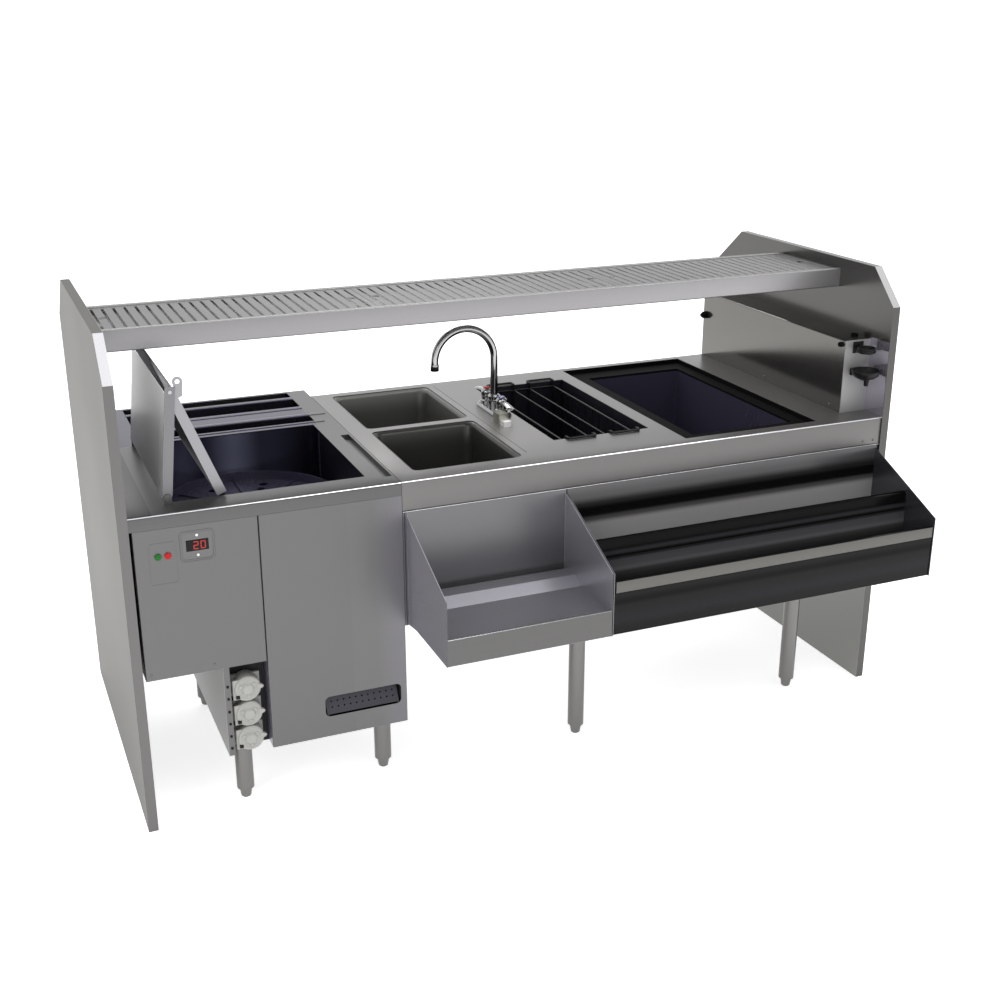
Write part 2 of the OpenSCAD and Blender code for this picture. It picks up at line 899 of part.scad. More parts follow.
// Box-section frame under the deck, on which the legs stand
module station_frame() {
    z = [frame_z0, apron_z];
    x = [station_x0 + 4, in_x1 - 4];
    y = [front_y + front_bar, frame_y1 - frame_bar];
    color(dark_steel) {
        block(x, [front_y, y[0]], z);
        block(x, [y[1], frame_y1], z);
        block([x[0], x[0] + frame_bar], y, z);
        block([x[1] - frame_bar, x[1]], y, z);
    }
}

// Bowl with a rolled rim, drafted walls, round corners and a dished floor
module sink_bowl(y) {
    c = [sink_x, y];
    top = deck_z - sheet_t;
    low = deck_z - bowl_depth;
    w = bowl_w;
    l = bowl_l;
    color(sink_steel)
        difference() {
            ring_loft([
                rect_ring(c, w - 82, l - 82, 14, low - 2),
                rect_ring(c, w - 46, l - 46, 22, low + 4),
                rect_ring(c, w - 36, l - 36, 25, low + 22),
                rect_ring(c, w - 18, l - 18, 27, top - 16),
                rect_ring(c, w + 2, l + 2, 22, top - 2),
                rect_ring(c, w + 14, l + 14, 24, top - 2),
                rect_ring(c, w + 14, l + 14, 24, top),
                rect_ring(c, w - 2, l - 2, 18, top),
                rect_ring(c, w - 16, l - 16, 20, top - 4),
                rect_ring(c, w - 22, l - 22, 23, top - 16),
                rect_ring(c, w - 40, l - 40, 22, low + 24),
                rect_ring(c, w - 50, l - 50, 19, low + 9),
                rect_ring(c, w - 84, l - 84, 12, low + 2)]);
            post(c, 52, low - 5, low + 12);
        }
}

module rear_sink() {
    sink_bowl(sink_y[1]);
}

module front_sink() {
    sink_bowl(sink_y[0]);
}

// Flanged drain with a perforated strainer, a lock nut under the bowl and a threaded tail
module drain_fitting(c, z, nut_z) {
    difference() {
        union() {
            post(c, 76, z, z + 3);
            post(c, drain_tail, z - 60, z);
            post(c, 66, nut_z - 8, nut_z, $fn = 6);
        }
        post(c, 38, z - 61, z + 1);
        for (a = [0:60:300])
            translate([c[0] + 12 * cos(a), c[1] + 12 * sin(a), z])
                cylinder(d = 6, h = 4);
    }
}

module drain_fittings() {
    color(chrome) {
        for (y = sink_y)
            drain_fitting([sink_x, y], deck_z - bowl_depth + 2, deck_z - bowl_depth - 2);
        drain_fitting([(liner_x[0] + liner_x[1]) / 2, liner_y[1] - 80], ledge_z - bin_depth - 6,
            ledge_z - bin_depth - 36);
    }
}

// Deck plate of the faucet, set front to back, with the spout's socket and a low block before it
module faucet_base() {
    color(chrome)
        difference() {
            union() {
                ring_loft([
                    rect_ring([faucet_x, faucet_y], 54, 156, 26.5, deck_z),
                    rect_ring([faucet_x, faucet_y], 54, 156, 26.5, deck_z + 6),
                    rect_ring([faucet_x, faucet_y], 46, 148, 22.5, base_top)]);
                post([faucet_x, faucet_y], 34, deck_z + 2, deck_z + 30);
            }
            post([faucet_x, faucet_y], 22.16, deck_z + 6, deck_z + 31);
            for (dy = [-valve_gap, valve_gap])
                post([faucet_x, faucet_y + dy], supply_d + 1, deck_z - 1, deck_z + 13);
        }
    color(chrome) {
        along_z(deck_z, deck_z + 27)
            polygon(round_rect([faucet_x - 40, faucet_x - 10], [faucet_y - 124, faucet_y - 88], 3));
        along_z(deck_z, deck_z + 14)
            polygon(round_rect([faucet_x - 36, faucet_x - 14], [faucet_y - 152, faucet_y - 120], 2));
    }
}

// Valve body on the base, with the threaded supply shank below the deck
module valve_bodies() {
    color(chrome)
        for (dy = [-valve_gap, valve_gap])
            translate([faucet_x, faucet_y + dy, 0])
                union() {
                    post([0, 0], supply_d, deck_z - 55, base_top);
                    post([0, 0], 36, deck_z - 8, deck_z - sheet_t, $fn = 6);
                    translate([0, 0, base_top])
                        rotate_extrude()
                            polygon([[0, 0], [17, 0], [17, 5], [14, 8], [14, 15], [5, 15], [5, 26], [0, 26]]);
                }
}

// Swivel spout: collar, riser, half-circle bend and outlet
module gooseneck_spout() {
    z0 = deck_z + 30.5;
    color(chrome)
        translate([faucet_x, faucet_y, 0])
            union() {
                post([0, 0], 22, deck_z + 6.5, z0);
                translate([0, 0, z0])
                    rotate_extrude()
                        polygon([[0, 0], [16, 0], [16, 10], [13, 15], [0, 15]]);
                post([0, 0], spout_tube, z0 + 15, spout_arc_z);
                translate([-spout_r, 0, spout_arc_z])
                    rotate([90, 0, 0])
                        rotate_extrude(angle = 180)
                            translate([spout_r, 0])
                                circle(d = spout_tube);
                post([-2 * spout_r, 0], spout_tube, spout_arc_z - 8, spout_arc_z);
            }
}

module aerator() {
    color(black)
        translate([faucet_x - 2 * spout_r, faucet_y, spout_arc_z - 21])
            rotate_extrude()
                polygon([[6, 0], [10.6, 0], [11, 1], [11, 13], [0, 13], [0, 9], [6, 9]]);
}

// Quarter-turn lever: hub over the valve stem, index cap and a blade lever
module lever_handle(dy, side, cap) {
    z0 = base_top + 15.3;
    translate([faucet_x, faucet_y + dy, 0])
        union() {
            color(chrome)
                difference() {
                    union() {
                        translate([0, 0, z0])
                            rotate_extrude()
                                polygon([[0, 0], [14, 0], [15, 3], [15, 16], [11, 22], [0, 22]]);
                        ring_loft([for (k = [0:4])
                            let (s = k / 4, y = side * (8 + 62 * s), half_w = 7 + 4 * s, half_h = 4.5 - 1.5 * s)
                            [for (a = [0:45:315])
                                [-side * half_w * cos(a), y, z0 + 12 - 6 * s * s + half_h * sin(a)]]]);
                    }
                    translate([0, 0, z0 - 1])
                        cylinder(d = 10.15, h = 13);
                }
            color(cap)
                translate([0, 0, z0 + 22])
                    cylinder(d1 = 17, d2 = 14, h = 3);
        }
}

module hot_handle() {
    lever_handle(valve_gap, 1, [0.75, 0.10, 0.08]);
}

module cold_handle() {
    lever_handle(-valve_gap, -1, [0.15, 0.20, 0.70]);
}

// Sheet well under the deck that holds the bottle basket
module bottle_well() {
    top = deck_z - sheet_t;
    low = deck_z - well_depth;
    color(navy)
        difference() {
            union() {
                block([well_x[0] - 2, well_x[1] + 10], [well_y[0] - 10, well_y[1] + 10], [top - thin_t, top]);
                block([well_x[0] - thin_t, well_x[1] + thin_t], [well_y[0] - thin_t, well_y[1] + thin_t],
                    [low - thin_t, top]);
            }
            block(well_x, well_y, [low, deck_z]);
            post([1213.5, 413.5], 30, low - 3, low + 1);
        }
}

// Wire basket with three bottle rows, hung on the deck by hooks at both ends
module wire_basket() {
    d = 6;
    x = [well_x[0] + 37, well_x[1] - 32];
    y = [well_y[0] + 8, well_y[1] - 8];
    low = deck_z - well_depth + 8;
    top = deck_z - 14;
    lane = 75;
    posts = [x[0], x[0] + lane, x[1] - lane, x[1]];
    rungs = 6;
    hook_z = deck_z + d / 2 + 0.3;
    color(black) {
        for (zz = [low, top], xx = x)
            bar_y(xx, zz, d, y[0] - d / 2, y[1] + d / 2, $fn = 8);
        for (zz = [low, top], yy = y)
            bar_x(yy, zz, d, x[0] - d / 2, x[1] + d / 2, $fn = 8);
        for (k = [1, 2], zz = [low, top])
            bar_y(posts[k], zz, d, y[0], y[1], $fn = 8);
        for (k = [1:rungs - 1])
            bar_x(y[0] + k * (y[1] - y[0]) / rungs, low, d, x[0], x[1], $fn = 8);
        for (xx = posts, yy = y)
            post([xx, yy], d, low - d / 2, hook_z + d / 2, $fn = 8);
        for (xx = x, k = [1:rungs - 1])
            post([xx, y[0] + k * (y[1] - y[0]) / rungs], d, low, top, $fn = 8);
        for (xx = posts)
            for (end = [[y[0] - 20, y[0]], [y[1], y[1] + 20]])
                bar_y(xx, hook_z, d, end[0], end[1], $fn = 8);
        for (k = [0, 2], yy = [y[0] - 20, y[1] + 20])
            bar_x(yy, hook_z, d, posts[k] - d / 2, posts[k + 1] + d / 2, $fn = 8);
    }
}

// Ice bin liner with its top flange and a floor that falls to the drain
module ice_bin() {
    low = ledge_z - bin_depth;
    flange = [ledge_z - 8, ledge_z - 6];
    fall = 6;
    c = [(liner_x[0] + liner_x[1]) / 2, (liner_y[0] + liner_y[1]) / 2];
    color(navy)
        difference() {
            union() {
                along_z(flange[0], flange[1])
                    polygon(round_rect([bin_x[0] - 5, bin_x[1] + 5], [bin_y[0] - 5, bin_y[1] + 5], 6));
                along_z(low - 10, flange[0])
                    polygon(round_rect([liner_x[0] - sheet_t, liner_x[1] + sheet_t],
                        [liner_y[0] - sheet_t, liner_y[1] + sheet_t], liner_r + sheet_t));
            }
            intersection() {
                along_z(low - fall, deck_z)
                    polygon(round_rect(liner_x, liner_y, liner_r));
                along_x(liner_x[0] - 1, liner_x[1] + 1)
                    polygon([[liner_y[0] - 1, low], [liner_y[1] - 120, low - fall],
                        [liner_y[1] + 1, low - fall],
                        [liner_y[1] + 1, deck_z], [liner_y[0] - 1, deck_z]]);
            }
            post([c[0], liner_y[1] - 80], 52, low - 20, low);
        }
}

// Foam and outer casing round the ice bin
module bin_insulation() {
    low = ledge_z - bin_depth;
    color(dark_steel)
        difference() {
            block([bin_x[0] + 6, bin_x[1] - 6], [62, 728], [low - 36, ledge_z - 8]);
            along_z(low - 10, ledge_z)
                polygon(round_rect([liner_x[0] - sheet_t, liner_x[1] + sheet_t],
                    [liner_y[0] - sheet_t, liner_y[1] + sheet_t], liner_r + sheet_t));
            post([(liner_x[0] + liner_x[1]) / 2, liner_y[1] - 80], 56, low - 40, low);
        }
}

// Black ledge seal between the deck and the liner
module bin_gasket() {
    color(black) {
        along_z(ledge_z - 6, ledge_z)
            difference() {
                polygon(round_rect([bin_x[0] - 4, bin_x[1] + 4], [bin_y[0] - 4, bin_y[1] + 4], 6));
                polygon(round_rect(liner_x, liner_y, liner_r));
            }
        difference() {
            block(bin_x, bin_y, [ledge_z, deck_z - 0.6]);
            block([bin_x[0] + 2.5, bin_x[1] - 2.5], [bin_y[0] + 2.5, bin_y[1] - 2.5], [ledge_z - 1, deck_z]);
        }
    }
}

// Side of the hung tray: top slope, upright front and a cut back corner
module hung_side(back_z) {
    polygon([[front_y, hung_top], [-rail_reach, 568], [-rail_reach, hung_z0], [-50, hung_z0],
        [front_y, back_z]]);
}

// Open tray with a stepped floor, a front lip and solid sides
module bottle_tray() {
    floor_path = bent([[-rail_reach + 10, hung_z0], [-rail_reach, hung_z0], [-rail_reach, hung_z0 + tray_lip],
        [-rail_reach + 11, hung_z0 + tray_lip], [-rail_reach + 11, hung_z0 + tray_lip - 7],
        [-92, hung_z0 + tray_lip - 3], [-58, hung_z0 + tray_lip + 14], [-14, hung_z0 + tray_lip + 14],
        [-14, hung_z0 + tray_lip + 6], [front_y - thin_t, hung_z0 + tray_lip + 6]], 2.4, 3);
    back_z = hung_z0 - 8;
    color(front_steel) {
        for (x = [tray_x[0], tray_x[1] - thin_t])
            along_x(x, x + thin_t)
                hung_side(back_z);
        along_x(tray_x[0] + thin_t, tray_x[1] - thin_t)
            polygon(sheet_outline(floor_path, -thin_t));
        block([tray_x[0] + thin_t, tray_x[1] - thin_t], [front_y - thin_t, front_y],
            [hung_z0 + 52, apron_z - 0.3]);
        block([washer_x1 + 0.5, tray_x[0]], [front_y - thin_t, front_y], [back_z, apron_z - 0.3]);
    }
}

module rail_end_plates() {
    color(dark_steel)
        for (x = [rail_x[0], rail_x[1] - sheet_t])
            along_x(x, x + sheet_t)
                hung_side(hung_z0 + 52);
}

// Upper tier: back sheet, floor and front band, with a drained channel
module upper_rail() {
    path = bent([[front_y, apron_z - 0.5], [front_y, upper_z], [tier_y, upper_z], [tier_y, tier_top],
        [tier_y + 17, tier_top], [tier_y + 17, tier_top - 11]], 3.2, 3);
    color(dark_steel)
        difference() {
            along_x(rail_x[0] + sheet_t, rail_x[1] - sheet_t)
                polygon(sheet_outline(path, -thin_t));
            for (k = [0:17])
                block([rail_x[0] + 40 + k * 48, rail_x[0] + 64 + k * 48], [-70, -62],
                    [upper_z - 5, upper_z + 5]);
        }
}

// Lower tier: back sheet, floor and dark front wall
module lower_rail() {
    path = bent([[tier_y, 555], [tier_y, hung_z0 + 26], [tier_y - 15, hung_z0 + 12],
        [-rail_reach + 16, hung_z0], [-rail_reach + 3, hung_z0], [-rail_reach + 3, strip_z[1] - 1],
        [-rail_reach + 12, strip_z[1] - 1]], 3.2, 3);
    color(dark_steel)
        difference() {
            along_x(rail_x[0] + sheet_t, rail_x[1] - sheet_t)
                polygon(sheet_outline(path, -thin_t));
            for (k = [0:17])
                block([rail_x[0] + 40 + k * 48, rail_x[0] + 64 + k * 48], [-205, -197],
                    [hung_z0 - 4, hung_z0 + 16]);
        }
}

// Bright guard strip along the lower tier's front
module guard_strip() {
    color(front_steel)
        along_x(rail_x[0] + 7, rail_x[1] - 6)
            polygon(round_rect([-rail_reach + 0.8, -rail_reach + 3], strip_z, 1, 3));
}

// Chase beside the right panel for the drink gun's lines
module utility_chase() {
    x = [chase_x0, in_x1];
    z = [deck_z, chase_z1];
    path = bent([[x[1], z[1]], [x[0], z[1]], [x[0], z[0]]], 3);
    color(steel) {
        along_y(chase_y[0] + sheet_t, chase_y[1])
            polygon(sheet_outline(path, sheet_t));
        block(x, [chase_y[0], chase_y[0] + sheet_t], z);
        block([x[0] + sheet_t, x[1]], [chase_y[1] - sheet_t, chase_y[1]], [z[0], z[1] - sheet_t]);
    }
}

// Holster ring for the drink gun, on an arm from the chase's front
module gun_holder() {
    color(black)
        difference() {
            union() {
                post([gun_x, gun_y], 50, 930, 944);
                block([gun_x - 10, gun_x + 10], [gun_y + 18, chase_y[0]], [932, 942]);
                block([gun_x - 16, gun_x + 16], [chase_y[0] - 3, chase_y[0]], [922, 952]);
            }
            post([gun_x, gun_y], 38, 929, 945);
        }
}

// Drip cup under the holster, with its drain spigot
module drip_cup() {
    color(black)
        difference() {
            union() {
                translate([gun_x, gun_y - 6, 860])
                    rotate_extrude()
                        polygon([[0, 0], [14, 0], [33, 8], [36.5, 22], [36.5, 24], [0, 24]]);
                post([gun_x + 4, gun_y - 6], 12, 842, 861);
                block([gun_x - 22, gun_x + 22], [gun_y + 21, chase_y[0]], [866, 882]);
            }
            translate([gun_x, gun_y - 6, 863])
                rotate_extrude()
                    polygon([[0, 0], [13, 0], [31, 7], [34, 20], [34, 22], [0, 22]]);
            post([gun_x + 4, gun_y - 6], 6, 841, 865);
        }
}

// Rubber grommets where the gun's hose and lines pass through the chase
module hose_grommets() {
    color(black) {
        post([1936, 118], 20, chase_z1, chase_z1 + 7);
        bar_x(96, 944, 14, chase_x0 - 8, chase_x0);
        bar_x(768, 888, 22, chase_x0 - 14, chase_x0);
        bar_x(768, 888, 12, chase_x0 - 20, chase_x0 - 14);
    }
}

// Pan-head screws on the chase's side and the apron's end
module panel_screws() {
    color(chrome) {
        for (y = [126, 438])
            bar_x(y, deck_z + 12, 9, chase_x0 - 3, chase_x0);
        for (x = [1905, 1938])
            bar_y(x, apron_z + 14, 8, front_y - 2, front_y);
    }
}

// Set the origin under the middle of the whole station
module at_origin() {
    translate([-station_w / 2, -(panel_d - rail_reach) / 2, 0])
        children();
}

at_origin() left_side_panel();
at_origin() right_side_panel();
at_origin() over_shelf();
at_origin() drainer_insert_left();
at_origin() drainer_insert_middle();
at_origin() drainer_insert_right();
at_origin() washer_upper_body();
at_origin() washer_lower_body();
at_origin() washer_deck();
at_origin() washer_control_panel();
at_origin() washer_front_panel();
at_origin() display_module();
at_origin() start_button();
at_origin() stop_button();
at_origin() set_button();
at_origin() clear_button();
at_origin() wash_tub();
at_origin() spray_arm();
at_origin() wash_pump();
at_origin() turntable_drive();
at_origin() glass_turntable();
at_origin() lid_left_leaf();
at_origin() lid_right_leaf();
at_origin() lid_pins();
at_origin() pump_niche();
at_origin() pump_bodies();
at_origin() pump_covers();
at_origin() pump_fittings();
at_origin() pump_rotor_top();
at_origin() pump_rotor_middle();
at_origin() pump_rotor_bottom();
at_origin() scrap_tray();
at_origin() leg_tubes();
at_origin() levelling_feet();
at_origin() station_deck();
at_origin() station_frame();
at_origin() rear_sink();
at_origin() front_sink();
at_origin() drain_fittings();
at_origin() faucet_base();
at_origin() valve_bodies();
at_origin() gooseneck_spout();
at_origin() aerator();
at_origin() hot_handle();
at_origin() cold_handle();
at_origin() bottle_well();
at_origin() wire_basket();
at_origin() ice_bin();
at_origin() bin_insulation();
at_origin() bin_gasket();
at_origin() bottle_tray();
at_origin() rail_end_plates();
at_origin() upper_rail();
at_origin() lower_rail();
at_origin() guard_strip();
at_origin() utility_chase();
at_origin() gun_holder();
at_origin() drip_cup();
at_origin() hose_grommets();
at_origin() panel_screws();
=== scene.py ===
"""Looks of the cocktail station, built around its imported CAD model."""

import math

import bmesh
import bpy
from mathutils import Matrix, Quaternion, Vector


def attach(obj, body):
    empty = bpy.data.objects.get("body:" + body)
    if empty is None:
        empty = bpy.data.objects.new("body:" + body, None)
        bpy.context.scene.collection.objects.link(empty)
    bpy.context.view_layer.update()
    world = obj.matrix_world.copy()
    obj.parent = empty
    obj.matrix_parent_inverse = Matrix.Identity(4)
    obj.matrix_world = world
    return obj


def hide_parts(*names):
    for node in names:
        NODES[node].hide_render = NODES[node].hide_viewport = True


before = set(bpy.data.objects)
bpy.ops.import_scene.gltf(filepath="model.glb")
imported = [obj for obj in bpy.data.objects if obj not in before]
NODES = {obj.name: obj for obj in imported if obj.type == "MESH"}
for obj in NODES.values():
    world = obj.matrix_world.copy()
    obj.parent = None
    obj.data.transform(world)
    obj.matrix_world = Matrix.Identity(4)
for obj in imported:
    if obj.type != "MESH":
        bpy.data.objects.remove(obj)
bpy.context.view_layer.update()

STATION_W = 1980.0
Y_SHIFT = 306.0
DECK_Z = 762.0
PANEL_H = 1143
PANEL_CHAMFER = 91


def at(x, y, z):
    """A point in metres.

    x, y and z are in millimetres from the left panel's outer face, the panels' front edge and the floor.
    """
    return Vector(((x - STATION_W / 2) / 1000, (y - Y_SHIFT) / 1000, z / 1000))


# Camera and studio

CAMERA_AT = (-273, -2718, 1768)
CAMERA_PITCH = 20.15
CAMERA_TURN = -22.81

# (height on the sky, grey there)
SKY = [(0.0, 0.91), (0.12, 0.86), (0.40, 0.82), (0.85, 1.0)]

# (name, place, target, size, power), in metres and watts
LIGHTS = [
    ("overhead", (1.3, -1.5, 4.0), (0, -0.2, 0.7), (3.4, 0.7), 42),
    ("left", (-3.2, -2.2, 3.0), (0, 0, 0.6), (1.6, 1.6), 30),
    ("back", (0.4, 3.2, 3.4), (0, 0, 0.7), (2.4, 0.8), 30),
]
FLOOR_REACH = 40


def add_camera():
    data = bpy.data.cameras.new("camera")
    data.lens = 48.19
    data.sensor_width = 36
    data.sensor_fit = "HORIZONTAL"
    data.clip_end = 60
    camera = bpy.data.objects.new("camera", data)
    bpy.context.scene.collection.objects.link(camera)
    camera.location = at(*CAMERA_AT)
    camera.rotation_euler = (math.radians(90 - CAMERA_PITCH), 0, math.radians(CAMERA_TURN))
    bpy.context.scene.camera = camera


def add_area_light(name, place, target, size, power):
    data = bpy.data.lights.new(name, "AREA")
    data.shape = "RECTANGLE"
    data.size, data.size_y = size
    data.energy = power
    light = bpy.data.objects.new(name, data)
    bpy.context.scene.collection.objects.link(light)
    light.location = place
    light.rotation_euler = (Vector(target) - Vector(place)).to_track_quat("-Z", "Y").to_euler()


def add_studio():
    """Pale surroundings that grow bright overhead, with three soft lights."""
    world = bpy.data.worlds.new("studio")
    bpy.context.scene.world = world
    world.use_nodes = True
    nodes, links = world.node_tree.nodes, world.node_tree.links
    background = nodes["Background"]
    coords = nodes.new("ShaderNodeTexCoord")
    split = nodes.new("ShaderNodeSeparateXYZ")
    ramp = nodes.new("ShaderNodeValToRGB")
    links.new(coords.outputs["Generated"], split.inputs[0])
    links.new(split.outputs["Z"], ramp.inputs["Fac"])
    links.new(ramp.outputs["Color"], background.inputs["Color"])
    ramp.color_ramp.elements[0].position = SKY[0][0]
    ramp.color_ramp.elements[1].position = SKY[-1][0]
    for height, _ in SKY[1:-1]:
        ramp.color_ramp.elements.new(height)
    for element, (_, tone) in zip(ramp.color_ramp.elements, SKY):
        element.color = (tone, tone, tone * 1.01, 1)
    background.inputs["Strength"].default_value = 1.15
    for light in LIGHTS:
        add_area_light(*light)
    bpy.context.scene.view_settings.view_transform = "Standard"


def add_floor():
    bm = bmesh.new()
    for x, y in ((-1, -1), (1, -1), (1, 1), (-1, 1)):
        bm.verts.new((x * FLOOR_REACH, y * FLOOR_REACH, 0))
    bm.faces.new(bm.verts)
    floor = new_object("floor", bm, floor_material())


# Materials

# Noise values between which a finish goes from its second tone to its first
NOISE_LOW = 0.3
NOISE_HIGH = 0.7
BUMP_DEPTH = 0.0004

# Sockets of a colour mix node
MIX_A = 6
MIX_B = 7
MIX_RESULT = 2

# Every material by the name asked for, since Blender may add a number to its own
MATERIALS = {}


def new_material(name):
    material = bpy.data.materials.new(name)
    material.use_nodes = True
    MATERIALS[name] = material
    return material, material.node_tree.nodes, material.node_tree.links


def textured(name, color, second, mix_scale, stretch, metallic, rough, bump,
             coat=0.0, spec=0.5, grain_mix=0.5):
    """Principled shader with a stretched grain and a soft, wide variation in colour, roughness and height."""
    material, nodes, links = new_material(name)
    shader = nodes["Principled BSDF"]
    shader.inputs["Metallic"].default_value = metallic
    shader.inputs["Coat Weight"].default_value = coat
    shader.inputs["Specular IOR Level"].default_value = spec
    coords = nodes.new("ShaderNodeTexCoord")
    mapping = nodes.new("ShaderNodeMapping")
    mapping.inputs["Scale"].default_value = stretch
    links.new(coords.outputs["Object"], mapping.inputs["Vector"])
    grain = nodes.new("ShaderNodeTexNoise")
    grain.inputs["Scale"].default_value = 1.0
    grain.inputs["Detail"].default_value = 5
    grain.inputs["Roughness"].default_value = 0.6
    links.new(mapping.outputs["Vector"], grain.inputs["Vector"])
    wide = nodes.new("ShaderNodeTexNoise")
    wide.inputs["Scale"].default_value = mix_scale
    wide.inputs["Detail"].default_value = 2
    links.new(coords.outputs["Object"], wide.inputs["Vector"])
    blend = nodes.new("ShaderNodeMix")
    blend.inputs["Factor"].default_value = grain_mix
    links.new(wide.outputs["Fac"], blend.inputs["A"])
    links.new(grain.outputs["Fac"], blend.inputs["B"])
    ramp = nodes.new("ShaderNodeValToRGB")
    ramp.color_ramp.elements[0].position = NOISE_LOW
    ramp.color_ramp.elements[0].color = (*second, 1)
    ramp.color_ramp.elements[1].position = NOISE_HIGH
    ramp.color_ramp.elements[1].color = (*color, 1)
    links.new(blend.outputs["Result"], ramp.inputs["Fac"])
    links.new(ramp.outputs["Color"], shader.inputs["Base Color"])
    rough_range = nodes.new("ShaderNodeMapRange")
    rough_range.inputs["From Min"].default_value = NOISE_LOW
    rough_range.inputs["From Max"].default_value = NOISE_HIGH
    rough_range.inputs["To Min"].default_value = rough[0]
    rough_range.inputs["To Max"].default_value = rough[1]
    links.new(blend.outputs["Result"], rough_range.inputs["Value"])
    links.new(rough_range.outputs["Result"], shader.inputs["Roughness"])
    if bump:
        height = nodes.new("ShaderNodeBump")
        height.inputs["Strength"].default_value = bump
        height.inputs["Distance"].default_value = BUMP_DEPTH
        links.new(grain.outputs["Fac"], height.inputs["Height"])
        links.new(height.outputs["Normal"], shader.inputs["Normal"])
    return material


def lit_material():
    """Dark red reading that glows, with a fine speckle of brighter red."""
    material, nodes, links = new_material("lit_digits")
    shader = nodes["Principled BSDF"]
    shader.inputs["Roughness"].default_value = 0.3
    coords = nodes.new("ShaderNodeTexCoord")
    noise = nodes.new("ShaderNodeTexNoise")
    noise.inputs["Scale"].default_value = 900
    ramp = nodes.new("ShaderNodeValToRGB")
    ramp.color_ramp.elements[0].color = (0.20, 0.0, 0.0, 1)
    ramp.color_ramp.elements[1].color = (0.34, 0.01, 0.01, 1)
    links.new(coords.outputs["Object"], noise.inputs["Vector"])
    links.new(noise.outputs["Fac"], ramp.inputs["Fac"])
    links.new(ramp.outputs["Color"], shader.inputs["Base Color"])
    links.new(ramp.outputs["Color"], shader.inputs["Emission Color"])
    shader.inputs["Emission Strength"].default_value = 0.5
    return material


def within(nodes, links, coords, low, high):
    """A socket that is 1 inside a box of object coordinates, in metres, and 0 outside."""
    inside = None
    for value, kind in ((low, "GREATER_THAN"), (high, "LESS_THAN")):
        split = nodes.new("ShaderNodeSeparateXYZ")
        links.new(coords.outputs["Object"], split.inputs[0])
        for axis in range(3):
            test = nodes.new("ShaderNodeMath")
            test.operation = kind
            links.new(split.outputs[axis], test.inputs[0])
            test.inputs[1].default_value = value[axis]
            if inside is None:
                inside = test.outputs[0]
                continue
            both = nodes.new("ShaderNodeMath")
            both.operation = "MULTIPLY"
            links.new(inside, both.inputs[0])
            links.new(test.outputs[0], both.inputs[1])
            inside = both.outputs[0]
    return inside


def toned(nodes, links, coords, axis, stops):
    """A soft run of tones along one axis of the object: stops are (place in metres, colour)."""
    split = nodes.new("ShaderNodeSeparateXYZ")
    links.new(coords.outputs["Object"], split.inputs[0])
    span = nodes.new("ShaderNodeMapRange")
    span.inputs["From Min"].default_value = stops[0][0]
    span.inputs["From Max"].default_value = stops[-1][0]
    links.new(split.outputs[axis], span.inputs["Value"])
    ramp = nodes.new("ShaderNodeValToRGB")
    links.new(span.outputs["Result"], ramp.inputs["Fac"])
    ramp.color_ramp.interpolation = "EASE"
    length = stops[-1][0] - stops[0][0]
    for place, _ in stops[1:-1]:
        ramp.color_ramp.elements.new((place - stops[0][0]) / length)
    for element, (_, color) in zip(ramp.color_ramp.elements, stops):
        element.color = (*color, 1)
    return ramp.outputs["Color"]


def zoned(material, low, high, color=None, rough=None, tones=None):
    """Gives a material another colour, roughness or run of tones inside a box, in metres."""
    nodes, links = material.node_tree.nodes, material.node_tree.links
    shader = nodes["Principled BSDF"]
    coords = nodes.new("ShaderNodeTexCoord")
    inside = within(nodes, links, coords, low, high)
    if color or tones:
        paint = nodes.new("ShaderNodeMix")
        paint.data_type = "RGBA"
        links.new(inside, paint.inputs["Factor"])
        links.new(shader.inputs["Base Color"].links[0].from_socket, paint.inputs[MIX_A])
        if color:
            paint.inputs[MIX_B].default_value = (*color, 1)
        else:
            links.new(toned(nodes, links, coords, *tones), paint.inputs[MIX_B])
        links.new(paint.outputs[MIX_RESULT], shader.inputs["Base Color"])
    if rough is not None:
        gloss = nodes.new("ShaderNodeMix")
        links.new(inside, gloss.inputs["Factor"])
        links.new(shader.inputs["Roughness"].links[0].from_socket, gloss.inputs["A"])
        gloss.inputs["B"].default_value = rough
        links.new(gloss.outputs["Result"], shader.inputs["Roughness"])


def zone(low, high, color=None, rough=None, tones=None):
    """What zoned() takes after the material, with the box given in millimetres."""
    return at(*low), at(*high), color, rough, tones


def deck_edge(front):
    """Zones of a deck: painted shade on the upright front, and a painted highlight along the rolled edge
    above it.
    """
    return (zone((0, 0, 600), (PAST_END, 4.9, 759), front, 0.36),
            zone((0, 0, 759), (PAST_END, 6.4, 770), PAINTED_EDGE_HIGHLIGHT, 0.12))


def grey(value, blue=0.0):
    """A grey a touch low in green, with more or less blue."""
    return (value, value * 0.98, value * (1 + blue))


def across(*stops):
    """Run of tones from left to right: stops are (x in mm, colour)."""
    return 0, [(at(x, 0, 0)[0], color) for x, color in stops]


def heights(*stops):
    """Run of tones from the floor up: stops are (height in mm, grey, blue share)."""
    return 2, [(at(0, 0, z)[2], grey(value, blue)) for z, value, blue in stops]


def floor_material():
    """White studio floor, lit a little from below so that it stays pale under the part."""
    floor = textured("floor_paint", (0.93, 0.93, 0.93), (0.90, 0.90, 0.90), 0.4, (3, 3, 3),
                     0, (0.6, 0.75), 0, spec=0.2)
    shader = floor.node_tree.nodes["Principled BSDF"]
    shader.inputs["Emission Color"].default_value = (1, 1, 1, 1)
    shader.inputs["Emission Strength"].default_value = 0.70
    return floor


def steel(name, color, grain, rough, metallic=0.85, bump=0.006, spec=0.5):
    """Satin stainless: a hair-fine grain along one axis, and wide soft clouds."""
    dark = tuple(0.95 * c for c in color)
    return textured(name, color, dark, CLOUDS, grain, metallic, rough, bump, spec=spec, grain_mix=0.25)


